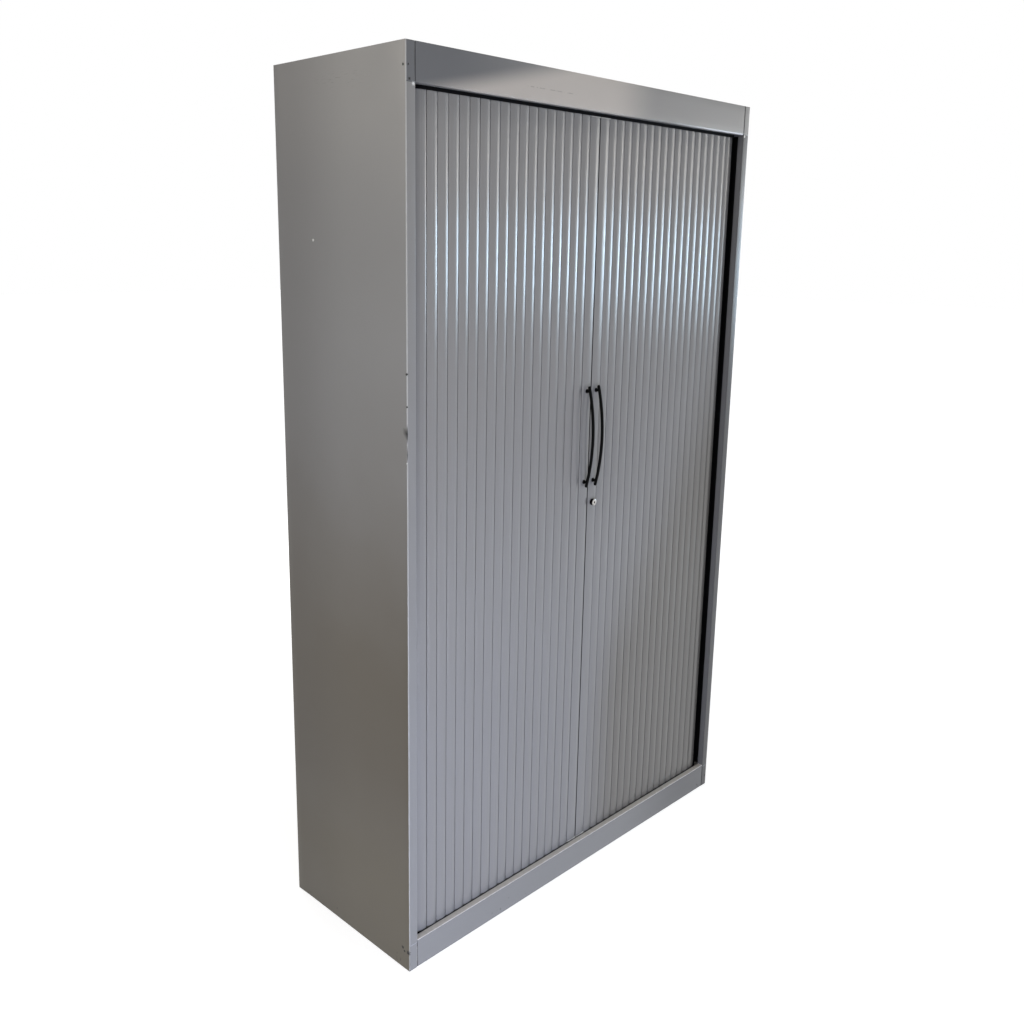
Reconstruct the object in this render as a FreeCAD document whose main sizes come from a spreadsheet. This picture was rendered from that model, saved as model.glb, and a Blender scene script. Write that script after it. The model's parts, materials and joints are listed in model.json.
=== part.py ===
"""Steel cupboard with two side-opening roll fronts, as separate sub-parts.

Millimetres. X runs to the right along the front, Y to the back, Z up. The origin is the middle of the
footprint, on the floor. Each front is a curtain of upright slats behind a stiff lead rail: it runs in a track
ring at the floor and another under the ceiling, flat across the front and round the corner to the side.
"""
import FreeCAD, Part
import math
import os
import Sketcher
from FreeCAD import Placement, Rotation, Vector
from types import SimpleNamespace

doc = FreeCAD.newDocument("roll_front_cupboard")

DIMENSIONS = [
    # carcass
    ("width", 1200, "over the side panels"),
    ("depth", 435, "front face to back face"),
    ("height", 1980, "floor to top"),
    ("sheet", 1.0, "steel sheet"),
    ("seam", 0.4, "gap where two panels meet"),
    ("seat", 0.3, "gap where one piece sits on another"),
    ("stile_width", 24, "front fold of a side panel"),
    ("stile_drop", 5, "underside of a stile below the ledge"),
    ("back_flange", 20, "rear fold of a side panel"),
    ("fascia_height", 73, "fascia over the fronts"),
    ("plinth_height", 70, "ledge above the floor"),
    ("plinth_fold", 15, "bottom fold of the plinth"),
    ("panel_lip", 20, "folded edge of top, ceiling and deck"),
    ("lip_drop", 7, "upper track below the fascia"),
    # roll fronts
    ("curtain_recess", 21.2, "slat hinge line behind the front face"),
    ("curtain_side_gap", 6.2, "slat hinge line to the side panel's inner face"),
    ("curtain_radius", 52, "hinge line's radius round a corner"),
    ("slat_pitch", 29.1, "hinge to hinge"),
    ("slat_gap", 1.2, "bare gap between two slats"),
    ("slat_depth", 6, "hinge line to the slat's back"),
    ("slat_flank", 2.5, "how far a slat narrows on each side to its back"),
    ("slat_crown", 2.4, "crown of a slat's face"),
    ("tongue", 0.8, "edge tongue that closes the gap to the next slat"),
    ("tongue_depth", 0.4, "thickness of that tongue"),
    ("corner_ease", 9, "added to the inner wall's radius round a corner"),
    ("track_play", 1.0, "slat to track wall"),
    ("track_wall", 1.5, "wall of a track groove"),
    ("track_floor", 2.0, "floor of a track groove"),
    ("lower_track_height", 12, "deck to ledge"),
    ("upper_track_height", 15, "ceiling to the lip under the fascia"),
    ("glide_play", 0.4, "slat and glide ends to the groove floor"),
    ("lead_width", 33.8, "lead rail across"),
    ("lead_depth", 12, "lead rail front to back"),
    ("lead_wall", 1.6, "wall of the lead rail"),
    ("lead_proud", 2.2, "lead rail's face in front of the hinge line"),
    ("lead_end_gap", 1.5, "lead rail's ends to the tracks"),
    ("centre_gap", 0.8, "between the two lead rails"),
    ("glide_depth", 9.2, "glide shoe front to back"),
    ("glide_stub", 12, "glide's stub in the rail"),
    # handles
    ("handle_length", 250, "tip to tip"),
    ("handle_spacing", 224, "post to post"),
    ("handle_height", 1161, "middle of the handle above the floor"),
    ("handle_reach", 24, "rail face to the middle of the bar"),
    ("handle_bow", 16, "how far the bar bows out from its tips"),
    ("bar_radius", 3.8, "handle bar"),
    ("post_radius", 3.6, "handle post"),
    ("screw_radius", 1.9, "handle screw"),
    ("screw_head_radius", 3.5, "its head"),
    ("screw_head_height", 2.2, "its head"),
    ("screw_bite", 7, "screw in the post"),
    ("thread_play", 0.05, "screw in its thread"),
    ("hole_play", 0.4, "screw in a plain hole"),
    # lock
    ("lock_height", 993, "axis above the floor"),
    ("lock_radius", 8.2, "housing"),
    ("lock_reach", 8.5, "housing in front of the rail"),
    ("lock_tail", 6, "housing behind the rail"),
    ("nut_wall", 2.8, "lock nut's corners beyond the housing"),
    ("nut_height", 3.5, "lock nut"),
    ("plug_radius", 6.0, "plug"),
    ("plug_play", 0.05, "plug in its bore"),
    ("keyway_width", 1.4, "key slot"),
    ("keyway_depth", 7, "key slot"),
    ("cam_length", 30, "axis to the cam's tip"),
    ("cam_width", 12, "cam"),
    ("cam_thickness", 2.5, "cam"),
    ("cam_hub_radius", 3.0, "square-shouldered end of the plug in the cam"),
    ("pin_radius", 2.0, "keeper pin"),
    ("pin_inset", 8.5, "keeper pin from the middle of the front"),
    ("pin_play", 0.7, "keeper pin in the cam's notch"),
    ("keeper_thickness", 2.0, "keeper plate"),
    # inside
    ("liner_offset", 61.2, "liner's inner face to the side panel's outer face"),
    ("liner_clear", 2.7, "liner's front fold to the track's corner"),
    ("liner_fold", 10, "stiffening fold of the liner"),
    ("rear_liner_offset", 36, "rear liner's face to the back face"),
    ("upright_width", 30, "shelf upright along the depth"),
    ("upright_depth", 12, "shelf upright off the liner"),
    ("upright_front", 47, "front upright behind the front face"),
    ("slot_pitch", 40, "slots of an upright"),
    ("slot_width", 14, "slot along the depth"),
    ("slot_height", 4, "slot upward"),
    ("slot_start", 50, "lowest slot above the bottom shelf, and the least room over the highest"),
    ("shelf_thickness", 25, "folded edge of a shelf"),
    ("shelf_gap", 1.5, "shelf to upright"),
    ("shelf_slots", 9, "slots from one shelf to the next"),
    ("shelf_first_slot", 8, "slots below the first shelf's clip"),
    ("clip_height", 10, "shelf clip"),
    ("clip_reach", 9, "shelf clip under the shelf"),
    ("clip_play", 0.3, "clip tab in its slot"),
    # feet
    ("foot_inset", 30, "foot axis from the side panel's outer face"),
    ("foot_setback", 50, "foot axis from the front and back faces"),
    ("foot_radius", 16, "foot pad"),
    ("foot_pad", 5, "foot pad"),
    ("stem_radius", 4, "foot stem"),
    ("stem_clear", 7, "top of the stem to the deck"),
    ("stem_play", 0.05, "stem in its thread"),
    ("bracket_drop", 14, "foot bracket below the deck's folded edge"),
    ("bracket_thickness", 2.5, "foot bracket"),
    ("bracket_size", 44, "foot bracket along and across"),
]
SLAT_GROUPS = 6
CORNER_SLATS = 4
TAIL_SLATS = 4
SHELVES = 4
SIDES = {"left": -1, "right": 1}

sheet = doc.addObject("Spreadsheet::Sheet", "dims")
for row, (alias, value, meaning) in enumerate(DIMENSIONS, start=1):
    sheet.set(f"A{row}", f"{alias}: {meaning}")
    sheet.set(f"B{row}", str(value))
    sheet.setAlias(f"B{row}", alias)
doc.recompute()


class Size:
    """A length with its value and the spreadsheet expression that gives it."""

    def __init__(self, value, text):
        self.value = value
        self.text = text

    def join(self, sign, other, value):
        return Size(value, f"({self.text} {sign} {other.text})")

    def __add__(self, other):
        other = as_size(other)
        return self.join("+", other, self.value + other.value)

    def __sub__(self, other):
        other = as_size(other)
        return self.join("-", other, self.value - other.value)

    def __mul__(self, other):
        other = as_size(other)
        return self.join("*", other, self.value * other.value)

    def __truediv__(self, other):
        other = as_size(other)
        return self.join("/", other, self.value / other.value)

    def __radd__(self, other):
        return as_size(other) + self

    def __rsub__(self, other):
        return as_size(other) - self

    def __rmul__(self, other):
        return as_size(other) * self

    def __neg__(self):
        return Size(-self.value, f"(-{self.text})")


def as_size(amount):
    if isinstance(amount, Size):
        return amount
    return Size(float(amount), f"({float(amount)})")


def arcsine_degrees(ratio):
    return Size(math.degrees(math.asin(ratio.value)), f"asin({ratio.text})")


def square_root(amount):
    return Size(math.sqrt(amount.value), f"sqrt({amount.text})")


def bind(thing, prop, amount):
    thing.setExpression(prop, as_size(amount).text)


size = SimpleNamespace(**{alias: Size(float(value), f"dims.{alias}") for alias, value, _ in DIMENSIONS})
parts = []


def sub_part(thing, label):
    """Names a finished sub-part, which is written to its own file."""
    thing.Label = label
    parts.append(thing)
    return thing


# ---------------------------------------------------------------- sketched bodies


def add_loop(sketch, points):
    """Adds a closed loop through (a, b) points. A third entry is the radius of an arc to the next point,
    bulging to the right of the way round."""
    first = sketch.GeometryCount
    ends = []
    for index, point in enumerate(points):
        start = Vector(as_size(point[0]).value, as_size(point[1]).value, 0)
        after = points[(index + 1) % len(points)]
        end = Vector(as_size(after[0]).value, as_size(after[1]).value, 0)
        if len(point) == 3:
            radius = as_size(point[2]).value
            chord = end - start
            outward = Vector(chord.y, -chord.x, 0).normalize()
            rise = radius - math.sqrt(max(radius ** 2 - chord.Length ** 2 / 4, 0))
            sketch.addGeometry(Part.Arc(start, (start + end) / 2 + outward * rise, end))
        else:
            sketch.addGeometry(Part.LineSegment(start, end))
        ends.append(first + index)
    for index, point in enumerate(points):
        here = ends[index]
        before = ends[index - 1]
        sketch.addConstraint(Sketcher.Constraint("Coincident", before, 2, here, 1))
        for kind, amount in (("DistanceX", point[0]), ("DistanceY", point[1])):
            amount = as_size(amount)
            number = sketch.addConstraint(Sketcher.Constraint(kind, -1, 1, here, 1, amount.value))
            bind(sketch, f"Constraints[{number}]", amount)
        if len(point) == 3:
            amount = as_size(point[2])
            number = sketch.addConstraint(Sketcher.Constraint("Radius", here, amount.value))
            bind(sketch, f"Constraints[{number}]", amount)


def new_body(label):
    return sub_part(doc.addObject("PartDesign::Body", label), label)


def new_sketch(body, loops, role="XY_Plane", raised=0):
    """A sketch of closed loops on one of the body's own origin planes, raised along its normal."""
    sketch = body.newObject("Sketcher::SketchObject", f"{body.Name}_sketch")
    plane = next(item for item in body.Origin.OriginFeatures if item.Role == role)
    sketch.AttachmentSupport = (plane, [""])
    sketch.MapMode = "FlatFace"
    bind(sketch, "AttachmentOffset.Base.z", raised)
    for points in loops:
        add_loop(sketch, points)
    return sketch


def pad(body, sketch, length):
    feature = body.newObject("PartDesign::Pad", f"{body.Name}_pad")
    feature.Profile = sketch
    bind(feature, "Length", length)
    doc.recompute()
    return feature


def pocket(body, sketch, length):
    """Cuts along the sketch's normal, and makes sure that it did cut."""
    before = body.Shape.Volume
    feature = body.newObject("PartDesign::Pocket", f"{body.Name}_pocket")
    feature.Profile = sketch
    feature.Reversed = True
    bind(feature, "Length", length)
    doc.recompute()
    if not body.Shape.Volume < before:
        raise RuntimeError(f"{body.Label}: a pocket cut nothing")
    return feature


def rectangle(a0, b0, a1, b1):
    return [(a0, b0), (a1, b0), (a1, b1), (a0, b1)]


def mirrored(side, low, high):
    """A span measured outward from the middle, on the left or the right side."""
    if side == "right":
        return low, high
    return -high, -low


def panel(label, x, y, z):
    """A plain plate between two corners."""
    body = new_body(label)
    pad(body, new_sketch(body, [rectangle(x[0], y[0], x[1], y[1])]), z[1] - z[0])
    bind(body, "Placement.Base.z", z[0])
    return body


def tray(label, x, y, z, opens="down"):
    """A sheet with all four edges folded, opening downward or upward."""
    body = panel(label, x, y, z)
    floor = 0 if opens == "down" else size.sheet
    inside = rectangle(x[0] + size.sheet, y[0] + size.sheet, x[1] - size.sheet, y[1] - size.sheet)
    pocket(body, new_sketch(body, [inside], raised=floor), z[1] - z[0] - size.sheet)
    return body


def upright_prism(label, loops, z):
    """A section drawn in plan, standing between two heights."""
    body = new_body(label)
    pad(body, new_sketch(body, loops), z[1] - z[0])
    bind(body, "Placement.Base.z", z[0])
    return body


def level_prism(label, loops, x):
    """A section drawn across the depth, running along the width."""
    body = new_body(label)
    pad(body, new_sketch(body, loops, role="YZ_Plane"), x[1] - x[0])
    bind(body, "Placement.Base.x", x[0])
    return body


# ---------------------------------------------------------------- primitives


def box(name, x, y, z):
    item = doc.addObject("Part::Box", name)
    for prop, axis, span in (("Length", "x", x), ("Width", "y", y), ("Height", "z", z)):
        bind(item, prop, span[1] - span[0])
        bind(item, f"Placement.Base.{axis}", span[0])
    return item


def rod(name, radius, at, length, along="Z"):
    """A cylinder from a point along +Z or along +Y."""
    item = doc.addObject("Part::Cylinder", name)
    if along == "Y":
        item.Placement = Placement(Vector(), Rotation(Vector(1, 0, 0), -90))
    bind(item, "Radius", radius)
    bind(item, "Height", length)
    for axis, amount in zip("xyz", at):
        bind(item, f"Placement.Base.{axis}", amount)
    return item


def fuse(name, items):
    item = doc.addObject("Part::MultiFuse", name)
    item.Shapes = items
    return item


def cut(name, base, tool):
    item = doc.addObject("Part::Cut", name)
    item.Base = base
    item.Tool = tool
    return item


def group(name, items):
    item = doc.addObject("Part::Compound", name)
    item.Links = items
    return item


# ---------------------------------------------------------------- shared places

half = size.width / 2
front = -size.depth / 2
back = size.depth / 2
inner_half = half - size.sheet - size.seam
opening_half = half - size.stile_width
fascia_foot = size.height - size.fascia_height
stile_foot = size.plinth_height - size.stile_drop

deck_top = size.plinth_height - size.lower_track_height
lower_track = (deck_top, size.plinth_height)
upper_track_foot = fascia_foot - size.lip_drop
ceiling = upper_track_foot + size.upper_track_height
upper_track = (upper_track_foot, ceiling)

back_panel_back = back - size.sheet - size.seat
back_panel_front = back_panel_back - size.sheet
rear_liner_front = back - size.rear_liner_offset
liner_half = half - size.liner_offset
upright_half = liner_half - size.upright_depth
shelf_half = upright_half - size.shelf_gap
shelf_front = front + size.upright_front
shelf_back = rear_liner_front - size.seat

curtain_y = front + size.curtain_recess
curtain_x = half - size.sheet - size.curtain_side_gap
groove_out = size.slat_crown + size.track_play
groove_in = size.slat_depth + size.track_play
curtain_rear = back_panel_front - size.seat - groove_out - size.track_wall
slat_foot = lower_track[0] + size.track_floor + size.glide_play
slat_head = upper_track[1] - size.track_floor - size.glide_play
slat_z = (slat_foot, slat_head)

lead_inner = size.centre_gap / 2
lead_outer = lead_inner + size.lead_width
lead_middle = lead_inner + size.lead_width / 2
lead_face = curtain_y - size.lead_proud
lead_back = lead_face + size.lead_depth
fold = size.curtain_recess - groove_out - size.track_wall - size.seat
frame_front = curtain_y - groove_out - size.track_wall

lead_z = (lower_track[1] + size.lead_end_gap, upper_track[0] - size.lead_end_gap)
first_hinge = lead_outer + size.seam
flat_end = curtain_x - size.curtain_radius
flat_count = math.floor(((flat_end - first_hinge) / size.slat_pitch).value)

ease_x = flat_end - size.corner_ease
ease_y = curtain_y + size.curtain_radius + size.corner_ease
ease_radius = size.curtain_radius + size.corner_ease - groove_in - size.track_wall
liner_reach = liner_half + size.liner_fold - ease_x
liner_front = ease_y - square_root(ease_radius * ease_radius - liner_reach * liner_reach) + size.liner_clear


# ---------------------------------------------------------------- carcass


def side_panel(side):
    """Outer sheet with a stile and its return folded at the front and a flange at the back."""
    sign = SIDES[side]
    inner = half - size.sheet
    plan = [
        (half, front),
        (half, back),
        (half - size.back_flange, back),
        (half - size.back_flange, back - size.sheet),
        (inner, back - size.sheet),
        (inner, front + size.sheet),
        (opening_half + size.sheet, front + size.sheet),
        (opening_half + size.sheet, front + fold),
        (opening_half, front + fold),
        (opening_half, front),
    ]
    loop = [(x * sign, y) for x, y in plan]
    body = upright_prism(f"side_panel_{side}", [loop], (as_size(0), size.height))
    low, high = mirrored(side, opening_half - 1, inner)
    notch = rectangle(low, front - 1, high, front + fold + 1)
    pocket(body, new_sketch(body, [notch]), stile_foot)
    top_notch = new_sketch(body, [notch], raised=fascia_foot - size.seam)
    pocket(body, top_notch, size.fascia_height + size.seam)
    return body


def carcass_panels():
    inside = (-inner_half, inner_half)
    tray("top_panel", inside, (front + size.sheet + size.seat, back_panel_back),
         (size.height - size.panel_lip, size.height))
    tray("ceiling_panel", inside, (frame_front, back_panel_front - size.seat),
         (ceiling, ceiling + size.panel_lip), opens="up")
    tray("base_deck", inside, (frame_front, back_panel_front - size.seat),
         (deck_top - size.panel_lip, deck_top))
    panel("back_panel", inside, (back_panel_front, back_panel_back),
          (size.seat, size.height - size.panel_lip - size.seat))
    tray("bottom_shelf", (-(liner_half - size.seam), liner_half - size.seam),
         (liner_front, shelf_back),
         (deck_top + size.seat, size.plinth_height))


def folded_section(y0, foot_fold, z0, z1):
    """A front sheet folded back along its foot."""
    return [
        (y0, z0),
        (y0 + foot_fold, z0),
        (y0 + foot_fold, z0 + size.sheet),
        (y0 + size.sheet, z0 + size.sheet),
        (y0 + size.sheet, z1),
        (y0, z1),
    ]


def channel_section(y0, head_fold, foot_fold, z0, z1):
    """A front sheet folded back along its foot and its head."""
    return folded_section(y0, foot_fold, z0, z1)[:4] + [
        (y0 + size.sheet, z1 - size.sheet),
        (y0 + head_fold, z1 - size.sheet),
        (y0 + head_fold, z1),
        (y0, z1),
    ]


def fascia_and_plinth():
    span = (-(opening_half - size.seam / 2), opening_half - size.seam / 2)
    section = folded_section(front, fold, fascia_foot, size.height)
    level_prism("fascia", [section], span)
    section = channel_section(front, fold, size.plinth_fold, as_size(0), size.plinth_height)
    level_prism("plinth_front", [section], span)
    rear = back_panel_front - size.seat
    section = channel_section(rear - size.panel_lip, size.plinth_fold, size.plinth_fold,
                              as_size(0), deck_top - size.panel_lip - size.seat)
    level_prism("plinth_rear", [section], (-inner_half, inner_half))


def corner_pieces(label, depth, z, fold_head):
    """The two short folded pieces that close the front frame's corners under or over the stiles.
    Their folds end at fold_head, which may lie below the face's top."""
    body = new_body(label)
    loops = []
    for sign in SIDES.values():
        start = opening_half + size.seam / 2
        plan = [
            (start, front),
            (inner_half, front),
            (inner_half, front + size.sheet),
            (start + size.sheet, front + size.sheet),
            (start + size.sheet, front + depth),
            (start, front + depth),
        ]
        loops.append([(x * sign, y) for x, y in plan])
    pad(body, new_sketch(body, loops), z[1] - z[0])
    bind(body, "Placement.Base.z", z[0])
    if fold_head is not z[1]:
        behind = rectangle(-half, front + size.sheet, half, front + depth + 1)
        pocket(body, new_sketch(body, [behind], raised=fold_head - z[0]), z[1] - fold_head)


# ---------------------------------------------------------------- tracks


def ring(offset, ease=0):
    """Rounded rectangle that follows the hinge line at a distance outward from it. An ease rounds its
    corners more, which leaves room for the backs of the slats where they turn."""
    reach = curtain_x + offset
    low = curtain_y - offset
    high = curtain_rear + offset
    radius = size.curtain_radius + offset + ease
    return [
        (-(reach - radius), low),
        (reach - radius, low, radius),
        (reach, low + radius),
        (reach, high - radius, radius),
        (reach - radius, high),
        (-(reach - radius), high, radius),
        (-reach, high - radius),
        (-reach, low + radius, radius),
    ]


def track(label, z, opens):
    """Plastic ring with a groove for the slats and the glides."""
    outside = ring(groove_out + size.track_wall)
    inside = ring(-(groove_in + size.track_wall), size.corner_ease)
    body = upright_prism(label, [outside, inside], z)
    raised = size.track_floor if opens == "up" else 0
    groove = new_sketch(body, [ring(groove_out), ring(-groove_in, size.corner_ease)], raised=raised)
    pocket(body, groove, z[1] - z[0] - size.track_floor)


# ---------------------------------------------------------------- curtains

slat_width = size.slat_pitch - size.slat_gap


def slat_outline():
    """Plan of one slat: its tongue at a = 0, the hinge line at b = 0, its crowned face towards -b."""
    left = size.tongue
    right = left + slat_width
    crown = (slat_width * slat_width / 4 + size.slat_crown * size.slat_crown) / (2 * size.slat_crown)
    inset = size.slat_flank * size.tongue_depth / size.slat_depth
    return [
        (left, as_size(0), crown),
        (right, as_size(0)),
        (right - size.slat_flank, size.slat_depth),
        (left + size.slat_flank, size.slat_depth),
        (left + inset, size.tongue_depth),
        (as_size(0), size.tongue_depth),
        (as_size(0), as_size(0)),
    ]


def flat_slats(side, number, first, count):
    """A run of linked slats in the flat of the front, counted from the lead rail outward."""
    body = new_body(f"slats_{side}_{number}")
    profile = new_sketch(body, [slat_outline()])
    feature = pad(body, profile, slat_z[1] - slat_z[0])
    row = body.newObject("PartDesign::LinearPattern", f"{body.Name}_row")
    row.Originals = [feature]
    row.Direction = (profile, ["H_Axis"])
    row.Mode = "Spacing"
    bind(row, "Offset", size.slat_pitch)
    row.Occurrences = count
    body.Tip = row
    outer_hinge = first_hinge + size.slat_pitch * (first + count)
    tongue_end = -outer_hinge + size.slat_gap / 2 - size.tongue
    place_slats(body, side)
    bind(body, "Placement.Base.x", tongue_end if side == "left" else -tongue_end)
    bind(body, "Placement.Base.y", curtain_y)
    bind(body, "Placement.Base.z", slat_z[0] if side == "left" else slat_z[1])


def place_slats(thing, side, turn=0.0, at=Vector()):
    """Stands slats on the left side, or turns them about to stand on the right."""
    about = Rotation(Vector(0, 1, 0), 0 if side == "left" else 180)
    spin = Rotation(Vector(0, 0, 1), turn)
    thing.Placement = Placement(at, about.multiply(spin))


def hinge_point(run):
    """The hinge line's point at a distance along it from the middle of the front, on the left side."""
    corner = size.curtain_radius.value
    flat = flat_end.value
    bend = corner * math.pi / 2
    if run <= flat:
        return Vector(-run, curtain_y.value, 0)
    if run <= flat + bend:
        angle = (run - flat) / corner
        return Vector(-flat - corner * math.sin(angle), curtain_y.value + corner * (1 - math.cos(angle)), 0)
    return Vector(-curtain_x.value, curtain_y.value + corner + run - flat - bend, 0)


def next_hinge(run):
    """The distance along the hinge line at which the next hinge is one pitch away, by halving."""
    pitch = size.slat_pitch.value
    low, high = run + pitch / 2, run + 2 * pitch
    for _ in range(60):
        middle = (low + high) / 2
        if (hinge_point(middle) - hinge_point(run)).Length < pitch:
            low = middle
        else:
            high = middle
    return low


def slat_solid():
    """One slat as a solid at the origin, from the same outline as the sketched ones."""
    edges = []
    outline = slat_outline()
    for index, point in enumerate(outline):
        after = outline[(index + 1) % len(outline)]
        start = Vector(point[0].value, point[1].value, 0)
        end = Vector(after[0].value, after[1].value, 0)
        if len(point) == 3:
            crest = (start + end) / 2 - Vector(0, size.slat_crown.value, 0)
            edges.append(Part.Arc(start, crest, end).toShape())
        else:
            edges.append(Part.makeLine(start, end))
    return Part.Face(Part.Wire(edges)).extrude(Vector(0, 0, slat_z[1].value - slat_z[0].value))


def bent_slats(label, side, runs):
    """Slats whose hinges lie at the given distances along the hinge line."""
    solids = []
    for near, far in zip(runs, runs[1:]):
        start = hinge_point(far)
        along = (hinge_point(near) - start).normalize()
        turn = math.degrees(math.atan2(along.y, along.x))
        at = start + along * (size.slat_gap.value / 2 - size.tongue.value)
        solid = slat_solid()
        solid.Placement = Placement(at, Rotation(Vector(0, 0, 1), turn))
        solids.append(solid)
    feature = doc.addObject("Part::Feature", label)
    feature.Shape = Part.makeCompound(solids)
    height = slat_z[0].value if side == "left" else slat_z[1].value
    place_slats(feature, side, at=Vector(0, 0, height))
    sub_part(feature, label)


def curtain(side):
    first = 0
    for number in range(1, SLAT_GROUPS + 1):
        count = flat_count // SLAT_GROUPS + (number <= flat_count % SLAT_GROUPS)
        flat_slats(side, number, first, count)
        first += count
    runs = [(first_hinge + size.slat_pitch * first).value]
    for _ in range(CORNER_SLATS + TAIL_SLATS):
        runs.append(next_hinge(runs[-1]))
    bent_slats(f"slats_{side}_corner", side, runs[:CORNER_SLATS + 1])
    bent_slats(f"slats_{side}_tail", side, runs[CORNER_SLATS:])


# ---------------------------------------------------------------- lead rails


def lead_rail(side):
    """Hollow flat-faced rail, drilled for the handle and, on the right, the lock."""
    sign = SIDES[side]
    low, high = mirrored(side, lead_inner, lead_outer)
    middle = lead_middle * sign
    wall = size.lead_wall
    outside = rectangle(low, lead_face, high, lead_back)
    inside = rectangle(low + wall, lead_face + wall, high - wall, lead_back - wall)
    rail = upright_prism(f"lead_rail_{side}_blank", [outside, inside], lead_z)
    parts.remove(rail)
    holes = []
    for end in (-1, 1):
        height = size.handle_height + size.handle_spacing / 2 * end
        holes.append(rod(f"rail_hole_{side}", size.screw_radius + size.hole_play,
                         (middle, lead_face - 1, height), size.lead_depth + 2, along="Y"))
    if side == "right":
        holes.append(rod("rail_lock_hole", size.lock_radius + size.hole_play,
                         (middle, lead_face - 1, size.lock_height), size.lead_depth + 2, along="Y"))
    drilled = cut(f"lead_rail_{side}", rail, group(f"rail_holes_{side}", holes))
    sub_part(drilled, f"lead_rail_{side}")


def lead_glides(side):
    """Plastic shoes in the two ends of a lead rail, running in the track grooves."""
    x = mirrored(side, lead_inner + 1, lead_outer - 1)
    middle = curtain_y + (groove_in - groove_out) / 2
    y = (middle - size.glide_depth / 2, middle + size.glide_depth / 2)
    inset = size.lead_wall + size.seat
    stub_x = mirrored(side, lead_inner + inset, lead_outer - inset)
    stub_y = (lead_face + inset, lead_back - inset)
    foot_top = lead_z[0] - size.thread_play
    head_foot = lead_z[1] + size.thread_play
    glides = []
    for shoe_z, stub_z in (((slat_z[0], foot_top), (foot_top - 1, foot_top + size.glide_stub)),
                           ((head_foot, slat_z[1]), (head_foot - size.glide_stub, head_foot + 1))):
        shoe = box(f"glide_shoe_{side}", x, y, shoe_z)
        stub = box(f"glide_stub_{side}", stub_x, stub_y, stub_z)
        glides.append(fuse(f"glide_{side}", [shoe, stub]))
    sub_part(group(f"lead_glides_{side}", glides), f"lead_glides_{side}")


bar_half = size.handle_length / 2 - size.bar_radius
bow_radius = (bar_half * bar_half + size.handle_bow * size.handle_bow) / (2 * size.handle_bow)
post_reach = size.handle_reach - size.handle_spacing * size.handle_spacing / 8 / bow_radius


def handle(side):
    """Slim round bar bowed outward, on two posts that stand on the lead rail."""
    middle = lead_middle * SIDES[side]
    tip_y = lead_face - size.handle_reach + size.handle_bow
    pieces = []
    holes = []
    for end in (-1, 1):
        bar = doc.addObject("Part::Torus", f"bar_{side}")
        bind(bar, "Radius1", bow_radius)
        bind(bar, "Radius2", size.bar_radius)
        bind(bar, "Angle3", arcsine_degrees(bar_half / bow_radius))
        upright = Rotation(Vector(0, 0, 1), -90).multiply(Rotation(Vector(1, 0, 0), 90 * end))
        bar.Placement = Placement(Vector(), upright)
        bind(bar, "Placement.Base.x", middle)
        bind(bar, "Placement.Base.y", lead_face - size.handle_reach + bow_radius)
        bind(bar, "Placement.Base.z", size.handle_height)
        tip = doc.addObject("Part::Sphere", f"tip_{side}")
        bind(tip, "Radius", size.bar_radius)
        bind(tip, "Placement.Base.x", middle)
        bind(tip, "Placement.Base.y", tip_y)
        bind(tip, "Placement.Base.z", size.handle_height + bar_half * end)
        height = size.handle_height + size.handle_spacing / 2 * end
        post = rod(f"post_{side}", size.post_radius, (middle, lead_face - post_reach, height),
                   post_reach - size.thread_play, along="Y")
        holes.append(rod(f"thread_{side}", size.screw_radius + size.thread_play,
                         (middle, lead_face - size.screw_bite - 1, height), size.screw_bite + 1, along="Y"))
        pieces += [bar, tip, post]
    whole = fuse(f"handle_blank_{side}", pieces)
    finished = cut(f"handle_{side}", whole, group(f"threads_{side}", holes))
    sub_part(finished, f"handle_{side}")


def handle_screws(side):
    middle = lead_middle * SIDES[side]
    screws = []
    for end in (-1, 1):
        height = size.handle_height + size.handle_spacing / 2 * end
        shank = rod(f"shank_{side}", size.screw_radius, (middle, lead_face - size.screw_bite, height),
                    size.screw_bite + size.lead_depth + 1, along="Y")
        head = rod(f"head_{side}", size.screw_head_radius, (middle, lead_back + size.thread_play, height),
                   size.screw_head_height, along="Y")
        screws.append(fuse(f"screw_{side}", [shank, head]))
    sub_part(group(f"handle_screws_{side}", screws), f"handle_screws_{side}")


# ---------------------------------------------------------------- lock


cam_face = lead_back + size.lock_tail + size.seat


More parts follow.
